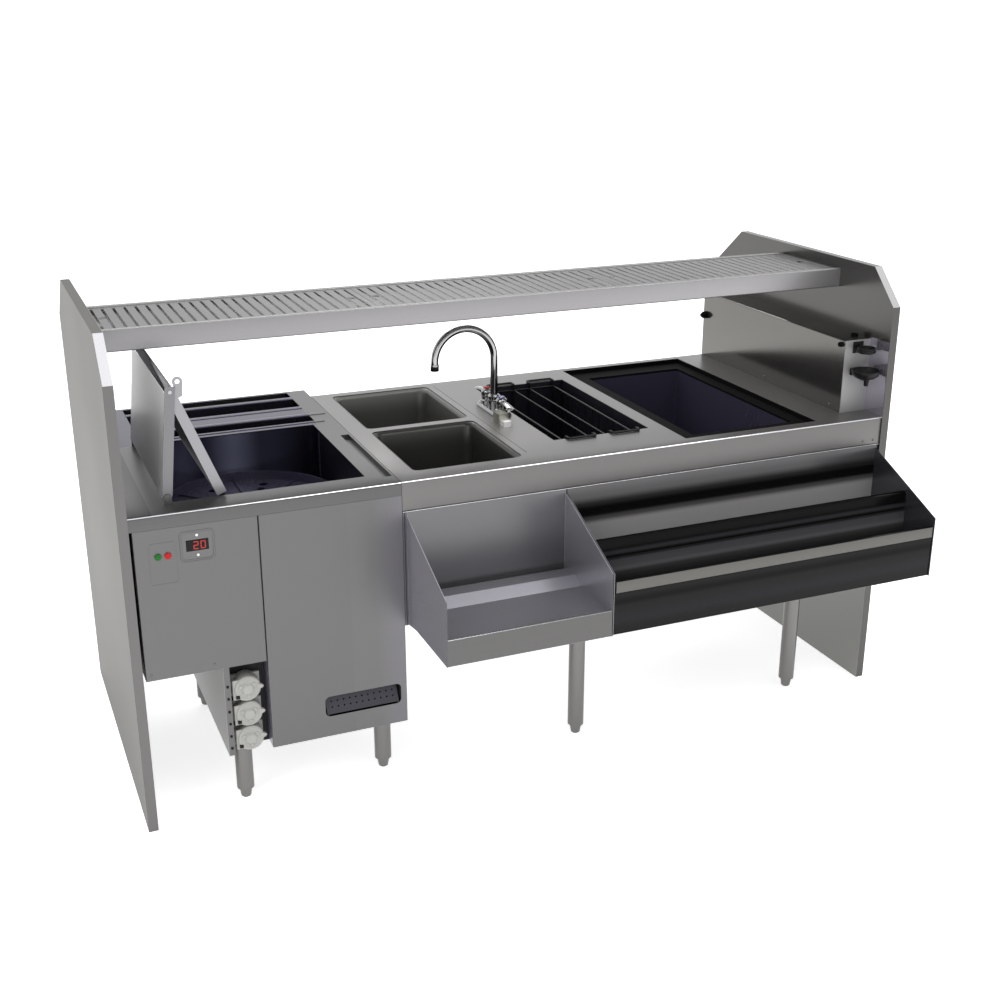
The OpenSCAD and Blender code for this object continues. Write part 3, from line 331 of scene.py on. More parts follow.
# Grain scales: brushed along one axis, drawn sheet, and turned tube
BRUSH_X = (3, 420, 420)
BRUSH_Y = (420, 3, 420)
BRUSH_Z = (420, 420, 3)
DRAWN = (90, 90, 14)
TUBE = (260, 260, 4)
CLOUDS = 1.3

# A place in mm beyond the right end of every part
PAST_END = 2000

# Near-white tone for a painted highlight on edges that catch the light
PAINTED_EDGE_HIGHLIGHT = (0.72, 0.72, 0.74)
FRONT_TONE = (0.130, 0.128, 0.128)
FRONT_ROUGH = (0.36, 0.42)
CHAMFER_Z = PANEL_H - PANEL_CHAMFER + 0.5
BLACK = ((0.006, 0.006, 0.006), (0.004, 0.004, 0.004), 20.0, (700, 700, 700), 0, (0.36, 0.48), 0.15)
CHROME = ((0.40, 0.40, 0.40), (0.33, 0.33, 0.33), 12.0, (60, 60, 60), 1, (0.05, 0.11), 0.0)
CAP_GRAIN = (60.0, (900, 900, 900), 0)


def add_zones(material, *zones):
    """Lays zones over a material in turn."""
    for one in zones:
        zoned(material, *one)


# Each steel() or textured() from here on makes one material and files it in MATERIALS.

# Side panels: painted light on the inner face, front edge and chamfer, the chamfer as a bright painted
# highlight; on the right one also a painted reflection of the chase
add_zones(steel("panel_steel", (0.079, 0.077, 0.068), BRUSH_Z, (0.46, 0.52)),
          zone((21.4, 0.8, 0), (23, 900, 1200), (0.26, 0.26, 0.25), 0.42),
          zone((0.4, -1, 0), (23, 0.8, 1052), (0.135, 0.132, 0.130), 0.42),
          zone((0.4, -1, CHAMFER_Z), (30, 89.6, 1200), PAINTED_EDGE_HIGHLIGHT, 0.16))
add_zones(steel("mirror_steel", (0.085, 0.084, 0.080), BRUSH_Y, (0.20, 0.25)),
          zone((1950, -10, 0), (1958.6, 900, 600), (0.20, 0.20, 0.19), 0.34),
          zone((1950, 1, 760), (1958.6, 79, 961), (0.48, 0.46, 0.53), 0.10),
          zone((1958.3, -1, CHAMFER_Z), (1979.7, 89.6, 1200), (0.5, 0.5, 0.5), 0.20))

# Chase: its front face painted lighter, as painted light
add_zones(steel("chase_steel", (0.135, 0.131, 0.122), BRUSH_Z, (0.15, 0.19)),
          zone((1870, 60, 700), (1975, 80, 1000), (0.38, 0.38, 0.375), 0.6))

# Decks: painted shade on the upright fronts and a painted highlight along the rolled edges; on the washer's
# also the dark strip at the left and the rear wells
add_zones(steel("deck_steel", (0.225, 0.221, 0.216), BRUSH_X, (0.30, 0.36)),
          *deck_edge((0.152, 0.149, 0.146)))
add_zones(steel("wash_deck_steel", (0.135, 0.133, 0.133), BRUSH_X, (0.30, 0.36)),
          zone((0, 6, 760), (74, 500, 800), (0.075, 0.074, 0.074), 0.3),
          zone((0, 512, 700), (575, 900, 800), (0.095, 0.09, 0.125), 0.16),
          *deck_edge((0.106, 0.104, 0.104)))

# Washer's fronts: painted light on a cooler right end and on the return beside the pumps; painted light on
# the lower body's side
steel("front_steel", FRONT_TONE, BRUSH_Z, FRONT_ROUGH)
add_zones(steel("front_panel_steel", FRONT_TONE, BRUSH_Z, FRONT_ROUGH),
          zone((500, -1, 100), (631, 5.5, 760),
               tones=across((545, FRONT_TONE), (625, (0.146, 0.143, 0.153)))),
          zone((297, 7.5, 150), (302, 48, 378), (0.50, 0.47, 0.60), 0.3))
add_zones(steel("body_steel", FRONT_TONE, BRUSH_Z, FRONT_ROUGH),
          zone((190, -10, 100), (197.3, 900, 600), (0.36, 0.36, 0.355), 0.4))

# Over-shelf and inserts: fronts painted lighter to the right as painted light, and the channel under the
# slots painted pale where shade would fall
add_zones(steel("shelf_steel", (0.27, 0.269, 0.262), BRUSH_X, (0.36, 0.40)),
          zone((20, 220, 1060), (1960, 232, 1130),
               tones=across((60, grey(0.25)), (1000, grey(0.275)), (1850, grey(0.32)))),
          zone((20, 246.6, 1090), (1960, 492.4, 1112), (0.62, 0.62, 0.61), 0.8))
add_zones(steel("insert_steel", (0.166, 0.165, 0.160), BRUSH_X, (0.38, 0.44)),
          zone((20, 0, 800), (1960, 900, 1200),
               tones=across((60, grey(0.132)), (1000, grey(0.17)), (1900, grey(0.24)))),
          zone((20, 240, 1090), (1960, 500, 1112.8), (0.50, 0.50, 0.49), 0.8))

# Tray: painted shade on the left flange, the back and the front, a dark line on the flange, and a painted
# highlight along the bend at the front's top
add_zones(steel("tray_steel", (0.36, 0.355, 0.39), BRUSH_X, (0.27, 0.29), metallic=0.75, bump=0.0015),
          zone((629.8, -8, 380), (638.9, 6, 760), (0.105, 0.103, 0.115), 0.36),
          zone((633.6, -8, 380), (635.2, 6, 760), (0.012, 0.012, 0.014), 0.5),
          zone((641, -8, 400), (1041, 6, 760), (0.135, 0.133, 0.138), 0.30),
          zone((600, -260, 400), (1100, -251.3, 760), (0.104, 0.103, 0.101), 0.34),
          zone((642, -256, 475.8), (1040, -240, 480), (0.30, 0.30, 0.31), 0.2))
steel("scrap_steel", (0.055, 0.053, 0.064), BRUSH_X, (0.30, 0.36), metallic=0.6)

# Lid: lit and shaded copies of one steel, pale for the left leaf with painted shade on its front edge, and
# darker for the right leaf
add_zones(steel("lid_steel", (0.95, 0.94, 0.95), BRUSH_Y, (0.36, 0.42), metallic=0.6),
          zone((60, 60, 700), (200, 68.2, 1140), (0.17, 0.169, 0.175), 0.4))
steel("lid_edge_steel", (0.26, 0.258, 0.27), BRUSH_Y, (0.30, 0.36), metallic=0.7)

# Bowls, bin, well and tub: the two bowls as lit and shaded copies of one steel, the front one darker; on the
# tub painted shade over its right end, and painted highlights in bands on its back wall
steel("sink_steel", (0.046, 0.046, 0.041), DRAWN, (0.30, 0.38), metallic=0.5)
steel("rear_sink_steel", (0.125, 0.125, 0.115), DRAWN, (0.34, 0.42), metallic=0.5)
steel("bin_steel", (0.066, 0.060, 0.098), DRAWN, (0.24, 0.30), metallic=0.35)
steel("well_steel", (0.018, 0.017, 0.026), DRAWN, (0.30, 0.40), metallic=0.3)
add_zones(steel("tub_steel", (0.12, 0.116, 0.19), DRAWN, (0.20, 0.26), metallic=0.55),
          zone((470, 0, 500), (700, 470, 758), (0.02, 0.019, 0.03), 0.3),
          zone((0, 480, 500), (700, 600, 770), tones=across(
              (120, (0.05, 0.05, 0.09)), (215, (0.17, 0.17, 0.26)), (280, (0.06, 0.06, 0.10)),
              (355, (0.26, 0.27, 0.38)), (430, (0.06, 0.06, 0.10)), (560, (0.015, 0.015, 0.025)))))

# Speed rails: near-black base tones as painted dark reflections, and bands of painted reflection on each
# tier's front and on the wall behind it
add_zones(steel("rail_steel", (0.02, 0.02, 0.022), BRUSH_X, (0.16, 0.24), metallic=0.5, spec=0.15),
          zone((0, -400, 300), (PAST_END, -225, 545), tones=heights(
              (408, 0.003, 0.0), (424, 0.008, 0.0), (450, 0.013, 0.12), (480, 0.011, 0.0),
              (494, 0.004, 0.0), (512, 0.011, 0.0), (522, 0.003, 0.0))),
          zone((0, -160, 440), (PAST_END, -100, 556), tones=heights(
              (492, 0.03, 0.0), (503, 0.05, 0.0), (514, 0.08, 0.0), (524, 0.20, 0.05),
              (535, 0.14, 0.05), (546, 0.12, 0.08), (553, 0.03, 0.0))))
add_zones(steel("upper_rail_steel", (0.004, 0.004, 0.004), BRUSH_X, (0.20, 0.26), metallic=0.5, spec=0.15),
          zone((0, -6, 540), (PAST_END, 10, 900), rough=0.16, tones=heights(
              (550, 0.54, -0.02), (586, 0.49, -0.02), (602, 0.11, 0.0), (613, 0.008, 0.0),
              (628, 0.006, 0.0), (640, 0.020, 0.0), (662, 0.068, 0.0), (690, 0.10, 0.0))),
          zone((0, -140, 480), (PAST_END, -116, 602), tones=heights(
              (557, 0.006, 0.0), (566, 0.05, 0.1), (576, 0.003, 0.0), (600, 0.001, 0.0))))

# Small steel parts
steel("strip_steel", (0.112, 0.110, 0.103), BRUSH_X, (0.34, 0.40))
steel("leg_steel", (0.168, 0.165, 0.16), TUBE, (0.28, 0.34))
# Pale steel for the hem under the apron, its tone a painted highlight
steel("edge_steel", (0.62, 0.62, 0.64), TUBE, (0.16, 0.22))
steel("end_plate_steel", (0.15, 0.147, 0.165), BRUSH_Y, (0.14, 0.20))

# Pump recess with painted light on its left edge, and the display's plate with its dark window
add_zones(textured("niche_face", *BLACK, spec=0.18),
          zone((190, 40, 100), (208, 60, 500), (0.16, 0.16, 0.16), 0.4))
add_zones(steel("control_face", FRONT_TONE, BRUSH_Z, FRONT_ROUGH, metallic=0.7),
          zone((139, -10, 669), (188, 6, 695), (0.006, 0.005, 0.005), 0.18))

# Tap's base: an olive-grey patch and, in front of it, a near-white patch laid over the chrome
add_zones(textured("faucet_chrome", *CHROME),
          zone((1003, 330, 761), (1036, 370, 800), (0.30, 0.30, 0.25), 0.35),
          zone((1000, 290, 761), (1036, 331, 800), (0.95, 0.95, 0.95), 0.5))

# Paint, chrome, plastics and rubber
textured("painted_frame", (0.05, 0.05, 0.055), (0.03, 0.03, 0.034), 6.0, (220, 220, 220),
         0, (0.45, 0.6), 0.15)
textured("chrome", *CHROME)
textured("black_plastic", *BLACK, spec=0.18)
textured("turntable_plastic", (0.07, 0.067, 0.105), (0.055, 0.052, 0.082), 9.0, (500, 500, 500),
         0.3, (0.22, 0.32), 0.08)
textured("pump_plastic", (0.32, 0.32, 0.30), (0.27, 0.27, 0.255), 30.0, (800, 800, 800),
         0, (0.36, 0.50), 0.15)
textured("foam_casing", (0.10, 0.10, 0.105), (0.07, 0.07, 0.075), 5.0, (300, 300, 300),
         0, (0.45, 0.6), 0.2)
textured("green_cap", (0.006, 0.13, 0.012), (0.004, 0.09, 0.008), *CAP_GRAIN,
         (0.5, 0.6), 0.05, spec=0.2)
textured("red_cap", (0.42, 0.007, 0.006), (0.32, 0.005, 0.004), *CAP_GRAIN,
         (0.5, 0.6), 0.05, spec=0.2)
textured("blue_cap", (0.04, 0.05, 0.30), (0.03, 0.04, 0.22), *CAP_GRAIN,
         (0.14, 0.2), 0.05, coat=0.6)
textured("white_key", (0.75, 0.75, 0.75), (0.68, 0.68, 0.68), *CAP_GRAIN, (0.25, 0.35), 0.05)
textured("coated_wire", (0.005, 0.005, 0.006), (0.003, 0.003, 0.003), 30.0, (400, 400, 400),
         0, (0.42, 0.52), 0.12, spec=0.3)
textured("rubber", (0.004, 0.004, 0.004), (0.0025, 0.0025, 0.0025), 20.0, (600, 600, 600),
         0, (0.62, 0.75), 0.2, spec=0.05)

NODE_MATERIALS = {
    "panel_steel": ["left_side_panel"],
    "mirror_steel": ["right_side_panel"],
    "chase_steel": ["utility_chase"],
    "deck_steel": ["station_deck"],
    "wash_deck_steel": ["washer_deck"],
    "front_steel": ["washer_control_panel", "washer_upper_body"],
    "front_panel_steel": ["washer_front_panel"],
    "body_steel": ["washer_lower_body"],
    "niche_face": ["pump_niche"],
    "shelf_steel": ["over_shelf"],
    "insert_steel": ["drainer_insert_left", "drainer_insert_middle", "drainer_insert_right"],
    "tray_steel": ["bottle_tray"],
    "scrap_steel": ["scrap_tray"],
    "lid_steel": ["lid_left_leaf"],
    "lid_edge_steel": ["lid_right_leaf"],
    "sink_steel": ["front_sink"],
    "rear_sink_steel": ["rear_sink"],
    "bin_steel": ["ice_bin"],
    "well_steel": ["bottle_well"],
    "tub_steel": ["wash_tub", "spray_arm"],
    "rail_steel": ["lower_rail"],
    "end_plate_steel": ["rail_end_plates"],
    "upper_rail_steel": ["upper_rail"],
    "control_face": ["display_module"],
    "strip_steel": ["guard_strip"],
    "leg_steel": ["leg_tubes", "levelling_feet"],
    "painted_frame": ["station_frame", "wash_pump", "turntable_drive"],
    "faucet_chrome": ["faucet_base"],
    "chrome": ["lid_pins", "drain_fittings", "valve_bodies", "gooseneck_spout", "hot_handle",
               "cold_handle", "panel_screws"],
    "black_plastic": ["pump_fittings", "aerator", "gun_holder", "drip_cup"],
    "turntable_plastic": ["glass_turntable"],
    "pump_plastic": ["pump_bodies", "pump_covers", "pump_rotor_top", "pump_rotor_middle",
                     "pump_rotor_bottom"],
    "foam_casing": ["bin_insulation"],
    "green_cap": ["start_button"],
    "red_cap": ["stop_button"],
    "white_key": ["set_button", "clear_button"],
    "coated_wire": ["wire_basket"],
    "rubber": ["bin_gasket", "hose_grommets"],
}


# Building tools

WELD_REACH = 0.00001
UP = (0, 0, 1)
DOWN = (0, 0, -1)
FORWARD = (0, -1, 0)
LEFTWARD = (-1, 0, 0)

# Faces of a box, by the order in which add_block() makes its corners
BOX_FACES = ((0, 2, 3, 1), (4, 5, 7, 6), (0, 1, 5, 4), (2, 6, 7, 3), (0, 4, 6, 2), (1, 3, 7, 5))

# Corners of a rectangle, each by its side on both axes
CORNERS = ((1, -1), (1, 1), (-1, 1), (-1, -1))


def dress_nodes():
    for material, names in NODE_MATERIALS.items():
        for name in names:
            node = NODES[name]
            node.data.materials.clear()
            node.data.materials.append(MATERIALS[material])
            smooth_shading(node)


def smooth_shading(obj, angle=28):
    """Smooth normals over the curved faces, without a change to the mesh's own points."""
    for face in obj.data.polygons:
        face.use_smooth = True
    weld = obj.modifiers.new("weld", "WELD")
    weld.merge_threshold = WELD_REACH
    split = obj.modifiers.new("split", "EDGE_SPLIT")
    split.split_angle = math.radians(angle)


def new_object(name, bm, material, body=None, smooth=None):
    mesh = bpy.data.meshes.new(name)
    bmesh.ops.recalc_face_normals(bm, faces=bm.faces)
    bm.to_mesh(mesh)
    bm.free()
    obj = bpy.data.objects.new(name, mesh)
    bpy.context.scene.collection.objects.link(obj)
    mesh.materials.append(material)
    if smooth is not None:
        smooth_shading(obj, smooth)
    if body:
        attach(obj, body)
    return obj


def rounded(points, radius, steps=5):
    """A path with its corners bent to a radius, in metres."""
    path = [points[0]]
    for before, corner, after in zip(points, points[1:], points[2:]):
        u = (before - corner).normalized()
        v = (after - corner).normalized()
        half = u.angle(v) / 2
        centre = corner + (u + v).normalized() * radius / math.sin(half)
        start = corner + u * radius / math.tan(half) - centre
        end = corner + v * radius / math.tan(half) - centre
        turn = start.rotation_difference(end)
        path += [Quaternion().slerp(turn, k / steps) @ start + centre for k in range(steps + 1)]
    path.append(points[-1])
    return path


def loft(bm, rings, caps=True):
    """Skin through rings of vertices, with a face at each end."""
    for low, high in zip(rings, rings[1:]):
        for i in range(len(low)):
            j = (i + 1) % len(low)
            bm.faces.new((low[i], low[j], high[j], high[i]))
    if caps:
        bm.faces.new(rings[0][::-1])
        bm.faces.new(rings[-1])


def add_tube(bm, points, radius, sides=10):
    """Round bar along a path, with points and radius in metres."""
    rings = []
    side = None
    for i, point in enumerate(points):
        along = (points[min(i + 1, len(points) - 1)] - points[max(i - 1, 0)]).normalized()
        side = along.orthogonal() if side is None else side - along * side.dot(along)
        side.normalize()
        other = along.cross(side)
        angles = [2 * math.pi * k / sides for k in range(sides)]
        rings.append([bm.verts.new(point + radius * (math.cos(a) * side + math.sin(a) * other))
                      for a in angles])
    loft(bm, rings)


def turned_rings(bm, place, axis, profile, sides):
    """Rings of vertices round an axis: profile is a list of (radius, height along it) in millimetres."""
    turn = Vector(UP).rotation_difference(Vector(axis))
    angles = [2 * math.pi * k / sides for k in range(sides)]
    return [[bm.verts.new(place + turn @ Vector((radius * math.cos(a), radius * math.sin(a), height)) / 1000)
             for a in angles] for radius, height in profile]


def add_lathe(bm, place, axis, profile, sides=40):
    """Turned solid, closed at both ends of its profile."""
    loft(bm, turned_rings(bm, place, axis, profile, sides))


def add_ring(bm, place, axis, profile, sides=40):
    """Turned ring: its profile closes on itself."""
    rings = turned_rings(bm, place, axis, profile, sides)
    loft(bm, rings + rings[:1], caps=False)


def add_block(bm, x, y, z, bevel=0.0):
    """Box between two places on each axis, in millimetres."""
    corners = [at(a, b, c) for c in z for b in y for a in x]
    verts = [bm.verts.new(p) for p in corners]
    faces = [bm.faces.new([verts[i] for i in f]) for f in BOX_FACES]
    if bevel:
        edges = list(dict.fromkeys(e for f in faces for e in f.edges))
        bmesh.ops.bevel(bm, geom=edges, offset=bevel / 1000, segments=3, profile=0.5, affect="EDGES")


def rounded_outline(centre, width, length, radius, steps):
    """Points round a rectangle with round corners, as pairs."""
    points = []
    for quarter, (su, sv) in enumerate(CORNERS):
        for k in range(steps + 1):
            a = math.radians(-90 + 90 * quarter + 90 * k / steps)
            points.append((centre[0] + su * (width / 2 - radius) + radius * math.cos(a),
                           centre[1] + sv * (length / 2 - radius) + radius * math.sin(a)))
    return points


def level_rings(bm, centre, rings, steps=8):
    """Level rings of vertices: each ring is (width, length, corner radius, height)."""
    return [[bm.verts.new(at(x, y, z)) for x, y in rounded_outline(centre, width, length, radius, steps)]
            for width, length, radius, z in rings]


# Wire basket


def build_basket():
    """Frame of thick wire, two dividing rows, eleven hoops, and a pair of hooked handles at each end."""
    low, top, hook = 580, 748, 765.3
    x, y = (1117, 1315), (163, 664)
    wire, thin = 0.003, 0.0024
    row_width = 75
    hoops = 12
    handle_drop, handle_reach = 30, 20
    rows = (x[0], x[0] + row_width, x[1] - row_width, x[1])
    bm = bmesh.new()
    for xx in x:
        for zz in (low, top):
            add_tube(bm, [at(xx, y[0], zz), at(xx, y[1], zz)], wire)
    for yy in y:
        for zz in (low, top):
            add_tube(bm, [at(x[0], yy, zz), at(x[1], yy, zz)], wire)
    for xx in rows[1:3]:
        for zz in (low, top):
            add_tube(bm, [at(xx, y[0], zz), at(xx, y[1], zz)], thin)
    for k in range(1, hoops):
        yy = y[0] + k * (y[1] - y[0]) / hoops
        hoop = [at(x[0], yy, top), at(x[0], yy, low), at(x[1], yy, low), at(x[1], yy, top)]
        add_tube(bm, rounded(hoop, 0.012), thin, 8)
    for yy, out in ((y[0], y[0] - handle_reach), (y[1], y[1] + handle_reach)):
        for xx in rows:
            add_tube(bm, [at(xx, yy, low), at(xx, yy, hook)], wire)
        for left, right in ((rows[0], rows[1]), (rows[2], rows[3])):
            handle = [at(left, yy, top - handle_drop), at(left, yy, hook), at(left, out, hook),
                      at(right, out, hook), at(right, yy, hook), at(right, yy, top - handle_drop)]
            add_tube(bm, rounded(handle, 0.005), wire)
    basket = new_object("basket_wires", bm, MATERIALS["coated_wire"], "basket", 40)
    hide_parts("wire_basket")


# Sinks

SINK_X = 819.5
REAR_SINK_Y = 586.5
FRONT_SINK_Y = 230.5


def build_bowl(name, centre_y, material, node):
    """Deep bowl with a stepped rim, near-upright walls and a dished floor round the drain."""
    w, l, top, low = 279, 329, DECK_Z - 2, 510
    outside = [(w - 220, l - 270, 26, low - 2), (w - 86, l - 86, 18, low - 1.6),
               (w - 50, l - 50, 20, low + 6), (w - 38, l - 38, 22, low + 24),
               (w - 20, l - 20, 24, top - 18), (w - 4, l - 4, 22, top - 3)]
    rim = [(w + 12, l + 12, 22, top - 3), (w + 12, l + 12, 22, top - 0.2), (w - 1, l - 1, 17.5, top - 0.2),
           (w - 6, l - 6, 18, top - 1), (w - 18, l - 18, 20, top - 5), (w - 22, l - 22, 22, top - 10)]
    inside = [(w - 26, l - 26, 22, top - 60), (w - 42, l - 42, 22, low + 30),
              (w - 46, l - 46, 20, low + 16), (w - 56, l - 56, 16, low + 6), (w - 78, l - 78, 14, low + 2.6),
              (w - 140, l - 160, 20, low + 1.6), (w - 203, l - 253, 37.9, low + 1)]
    bm = bmesh.new()
    loft(bm, level_rings(bm, (SINK_X, centre_y), outside + rim + inside))
    bowl = new_object(name, bm, MATERIALS[material], "station", 50)
    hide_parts(node)


# Faucet

TAP_X = 1044
SPOUT_Y = 455
HOT_Y = 506
COLD_Y = 404
HUB_Z = 789.3
HUB = [(5.1, 0), (13.6, 0), (14.6, 1), (15, 4), (15, 13), (14.4, 16), (12.6, 19), (10.4, 21), (9.4, 22),
       (5.1, 22)]
INDEX_CAP = [(0.6, 0), (9, 0), (9, 1.6), (8.2, 2.8), (6, 3.4), (0.6, 3.5)]
INDEX_CAP_LIFT = 0.0215
AERATOR_RING = [(9.4, 0), (11.2, 0), (11.6, 1), (11.6, 6), (11.2, 7), (9.4, 7)]


def build_lever(name, valve_y, side, cap_material, body, node):
    """Hub with a tapering blade lever that lies front to back, and its index cap."""
    hub = at(TAP_X, valve_y, HUB_Z)
    bm = bmesh.new()
    add_lathe(bm, hub, UP, HUB)
    angles = [2 * math.pi * i / 16 for i in range(16)]
    rings = []
    for k in range(11):
        s = k / 10
        y = side * (9 + 61 * s)
        width = 6 + 4.6 * s - (7 * (s - 0.9) * 10 if s > 0.9 else 0)
        height = (4.6 - 1.8 * s) * (0.6 if s > 0.95 else 1)
        z = 12 - 6 * s * s
        rings.append([bm.verts.new(hub + Vector((width * math.cos(a), y, z + height * math.sin(a))) / 1000)
                      for a in angles])
    loft(bm, rings)
    lever = new_object(name, bm, MATERIALS["chrome"], body, 45)
    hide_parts(node)
    bm = bmesh.new()
    add_lathe(bm, hub + Vector((0, 0, INDEX_CAP_LIFT)), UP, INDEX_CAP)
    cap = new_object(name + "_index", bm, MATERIALS[cap_material], body, 40)


def build_faucet_trim():
    """Two collar rings at the spout's foot, and the ring round the aerator."""
    bm = bmesh.new()
    for z, r in ((DECK_Z + 31, 16.4), (DECK_Z + 41.4, 16.2)):
        add_lathe(bm, at(TAP_X, SPOUT_Y, z), UP, [(12, 0), (r, 0), (r + 0.5, 0.6), (r, 1.4), (12, 1.4)])
    ring = new_object("spout_collar_rings", bm, MATERIALS["chrome"], "spout", 40)
    bm = bmesh.new()
    add_lathe(bm, at(878, SPOUT_Y, 897), UP, AERATOR_RING)
    ring = new_object("aerator_ring", bm, MATERIALS["chrome"], "spout", 40)


# Washer controls

SEGMENTS = {"0": "abcdef", "2": "abged"}
DIGITS = [("2", 154.5), ("0", 170)]
DIGIT_FOOT_Z = 672.8
BUTTON_X = (78, 99)
BUTTON_Z = 667
BUTTON_COLLAR = [(7.4, -0.4), (8.8, -0.4), (8.9, 0.5), (8.2, 1.0), (7.5, 0.9)]


def build_reading():
    """Two lit digits behind the display's window."""
    bm = bmesh.new()
    w, h, t = 11.5, 18.5, 2.4
    end, gap = 0.8, 0.5
    bars = {
        "a": ((end, w - end), (h - t, h)),
        "b": ((w - t, w), (h / 2 + gap, h - end)),
        "c": ((w - t, w), (end, h / 2 - gap)),
        "d": ((end, w - end), (0, t)),
        "e": ((0, t), (end, h / 2 - gap)),
        "f": ((0, t), (h / 2 + gap, h - end)),
        "g": ((end, w - end), (h / 2 - t / 2, h / 2 + t / 2)),
    }
    for digit, x0 in DIGITS:
        for segment in SEGMENTS[digit]:
            (xa, xb), (za, zb) = bars[segment]
            add_block(bm, (x0 + xa, x0 + xb), (3.3, 3.65), (DIGIT_FOOT_Z + za, DIGIT_FOOT_Z + zb))
    reading = new_object("display_digits", bm, lit_material(), "station")


def build_bezels():
    """The collar of each large button, and the raised line of the pressed plate round the display."""
    bm = bmesh.new()
    for x in BUTTON_X:
        add_lathe(bm, at(x, 4.0, BUTTON_Z), FORWARD, BUTTON_COLLAR)
    collars = new_object("button_collars", bm, MATERIALS["front_steel"], "station", 40)
    bm = bmesh.new()
    outline = [at(x, 3.9, z) for x, z in rounded_outline((163.5, 681), 75, 70, 10, 6)]
    add_tube(bm, outline + outline[:1], 0.0007, 6)
    frame_line = new_object("display_bezel", bm, MATERIALS["front_steel"], "station", 40)


# Dosing pumps

PUMP_X = 250
PUMP_HEIGHTS = (312, 248, 185)
PUMP_COVER = [(1, 0), (30.4, 0), (31, 0.6), (31, 3.4), (30.2, 5), (27.6, 7), (24, 7.8), (22, 6.8),
              (14.6, 6.6), (13.6, 8.6), (12.6, 9.2), (11.6, 11.2), (9.6, 12), (1, 12)]
PUMP_BOSS = [(0.5, 0), (4.6, 0), (4.6, 1.2), (3.8, 2.2), (0.5, 2.4)]
BOSS_RING = 17.5


def build_pumps():
    """Round covers with three bosses, a latch and a square plate, and a black clip at the lower left."""
    covers = bmesh.new()
    clips = bmesh.new()
    for z in PUMP_HEIGHTS:
        add_lathe(covers, at(PUMP_X, 15, z), FORWARD, PUMP_COVER, 48)
        for k in range(3):
            angle = math.radians(35 + 120 * k)
            boss = at(PUMP_X + BOSS_RING * math.cos(angle), 8.6, z + BOSS_RING * math.sin(angle))
            add_lathe(covers, boss, FORWARD, PUMP_BOSS, 20)
        latch = [(272, z - 5), (284, z - 1), (287, z + 3), (283, z + 7), (272, z + 10)]
        loft(covers, [[covers.verts.new(at(x, y, zz)) for x, zz in latch] for y in (13.5, 6.5)])
        add_block(covers, (216, PUMP_X), (10.8, 15), (z - 25, z + 25), 1.6)
        add_block(clips, (222.5, 231), (6.4, 13), (z - 21, z - 12), 0.8)
    cover = new_object("pump_cover_shapes", covers, MATERIALS["pump_plastic"], "station", 35)
    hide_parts("pump_covers")
    clip = new_object("pump_clips", clips, MATERIALS["black_plastic"], "station", 35)


# Screws, seams and studs

# (place, direction of the head, radius)
SCREWS = [
    (at(1880, 126, 774), LEFTWARD, 3.6),
    (at(1880, 438, 774), LEFTWARD, 3.6),
    (at(40, 4, 391), FORWARD, 3.2),
    (at(180, 4, 391), FORWARD, 3.2),
    (at(1905, 4, 702), FORWARD, 3.2),
    (at(1938, 4, 702), FORWARD, 3.2),
]
SEALANT = [at(1879.2, 80, 760.4), at(1879.2, 783, 760.4)]
SEALANT_RADIUS = 0.0017
APRON_HEM = [at(631, 3.4, 688.6), at(1957, 3.4, 688.6)]
HEM_RADIUS = 0.0009
TRAY_SEAM = ([629.6, 633], [4.1, 5.4], [405, 687])
STUD_X = 204.5
STUD_HEIGHTS = (328, 297, 264, 233, 201, 170)
STUD = [(0.4, 0), (3.1, 0), (3.1, 1.6), (2.4, 2.6), (0.4, 2.7)]


def build_screws():
    """Domed screws with a recess, on the chase, the apron and the control box."""
    bm = bmesh.new()
    for place, axis, r in SCREWS:
        profile = [(0.4, -0.2), (r, -0.2), (r, 0.5), (r * 0.86, 1.2), (r * 0.6, 1.8), (r * 0.42, 1.95),
                   (r * 0.3, 1.0), (0.4, 0.9)]
        add_lathe(bm, place, axis, profile, 24)
    screws = new_object("screw_heads", bm, MATERIALS["leg_steel"], "station", 35)
    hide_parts("panel_screws")


def build_seams():
    """Sealant along the chase, the hem under the apron painted pale as a highlight, and the dark seam behind
    the tray's flange.
    """
    bm = bmesh.new()
    add_tube(bm, SEALANT, SEALANT_RADIUS, 8)
    bead = new_object("chase_sealant", bm, MATERIALS["rubber"], "station", 40)
    bm = bmesh.new()
    add_tube(bm, APRON_HEM, HEM_RADIUS, 8)
    hem = new_object("apron_hem", bm, MATERIALS["edge_steel"], "station", 60)
    bm = bmesh.new()
    add_block(bm, *TRAY_SEAM)
    seal = new_object("seam_seal", bm, MATERIALS["rubber"], "station")


def build_studs():
    """Black studs down the flange beside the dosing pumps."""
    bm = bmesh.new()
    for z in STUD_HEIGHTS:
        add_lathe(bm, at(STUD_X, 5.4, z), FORWARD, STUD, 16)
    plugs = new_object("niche_plugs", bm, MATERIALS["black_plastic"], "station", 35)


# Drink gun's rest

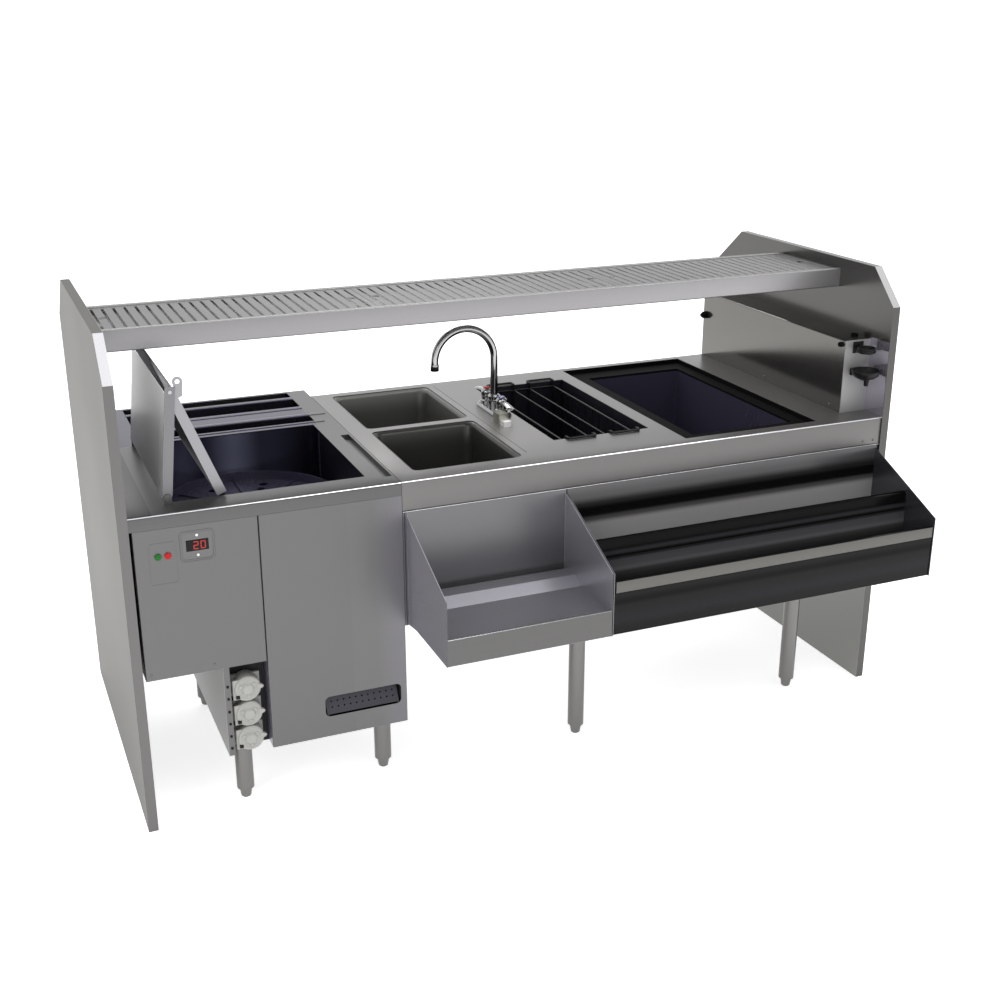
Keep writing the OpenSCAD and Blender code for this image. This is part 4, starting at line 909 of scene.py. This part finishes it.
GUN_X = 1919
HOLSTER = [(19.2, 0), (22.5, 0), (25, 2), (25, 5), (23.4, 6.5), (23.4, 9), (24.6, 10.5), (24.6, 13), (23, 14),
           (20, 14), (19.2, 12)]
PLATE_SCREW = [(0.4, 0), (3.6, 0), (3.4, 1.0), (2.2, 1.7), (0.4, 1.8)]
CUP_OUTSIDE = [(26, 22, 10, 859), (30, 26, 12, 860), (50, 46, 21, 865), (66, 62, 28, 872), (72, 70, 33, 880),
               (73, 72, 34, 884), (72, 71, 33.5, 885)]
CUP_INSIDE = [(68, 67, 32, 885), (67, 66, 31, 883), (60, 58, 27, 874), (46, 42, 19, 867), (24, 20, 9, 863)]
CUP_SPIGOT = [(3, 0), (7, 0), (7, 5), (6, 7), (6, 16), (5, 18), (3, 18)]
TOP_GROMMET = [(4.4, 0), (10, 0), (10, 1.6), (8.8, 2.4), (8.8, 4), (9.6, 5), (8.8, 7), (5.4, 7), (4.4, 5)]
SIDE_GROMMET = [(2.6, 0), (7, 0), (7, 2), (6.2, 3), (6.6, 6), (5.4, 8), (3.4, 8), (2.6, 6)]
REAR_GROMMET = [(3, 0), (11, 0), (11, 5), (10, 6.5), (10.6, 9), (9.2, 14), (6, 15), (5.6, 19.6),
                (3.4, 20), (3, 18)]


def build_gun_rest():
    """Tapered holster ring on its arm, and the boat-shaped drip cup with its spigot."""
    bm = bmesh.new()
    add_ring(bm, at(GUN_X, 42, 930), UP, HOLSTER)
    add_block(bm, (1910, 1928), (64, 76), (932, 941), 2)
    add_block(bm, (1903, 1935), (75, 78), (922, 952), 1.2)
    for z in (927, 947):
        add_lathe(bm, at(GUN_X, 75, z), FORWARD, PLATE_SCREW, 20)
    ring = new_object("gun_holster", bm, MATERIALS["black_plastic"], "station", 35)
    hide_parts("gun_holder")
    bm = bmesh.new()
    loft(bm, level_rings(bm, (GUN_X, 36), CUP_OUTSIDE + CUP_INSIDE, 6))
    add_lathe(bm, at(1923, 36, 860), DOWN, CUP_SPIGOT, 28)
    add_block(bm, (1899, 1939), (70, 78), (864, 882), 1.5)
    cup = new_object("drip_cup_shell", bm, MATERIALS["black_plastic"], "station", 40)
    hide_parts("drip_cup")


def build_grommets():
    """Ribbed rubber grommets where the lines pass through the chase."""
    bm = bmesh.new()
    add_ring(bm, at(1936, 118, 956), UP, TOP_GROMMET)
    add_ring(bm, at(1880, 96, 944), LEFTWARD, SIDE_GROMMET)
    add_ring(bm, at(1880, 768, 888), LEFTWARD, REAR_GROMMET)
    grommets = new_object("grommet_shapes", bm, MATERIALS["rubber"], "station", 35)
    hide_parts("hose_grommets")


add_camera()
add_studio()
add_floor()
dress_nodes()
build_basket()
build_bowl("rear_bowl", REAR_SINK_Y, "rear_sink_steel", "rear_sink")
build_bowl("front_bowl", FRONT_SINK_Y, "sink_steel", "front_sink")
build_lever("hot_lever_blade", HOT_Y, 1, "red_cap", "hot_lever", "hot_handle")
build_lever("cold_lever_blade", COLD_Y, -1, "blue_cap", "cold_lever", "cold_handle")
build_faucet_trim()
build_reading()
build_bezels()
build_pumps()
build_screws()
build_seams()
build_studs()
build_gun_rest()
build_grommets()
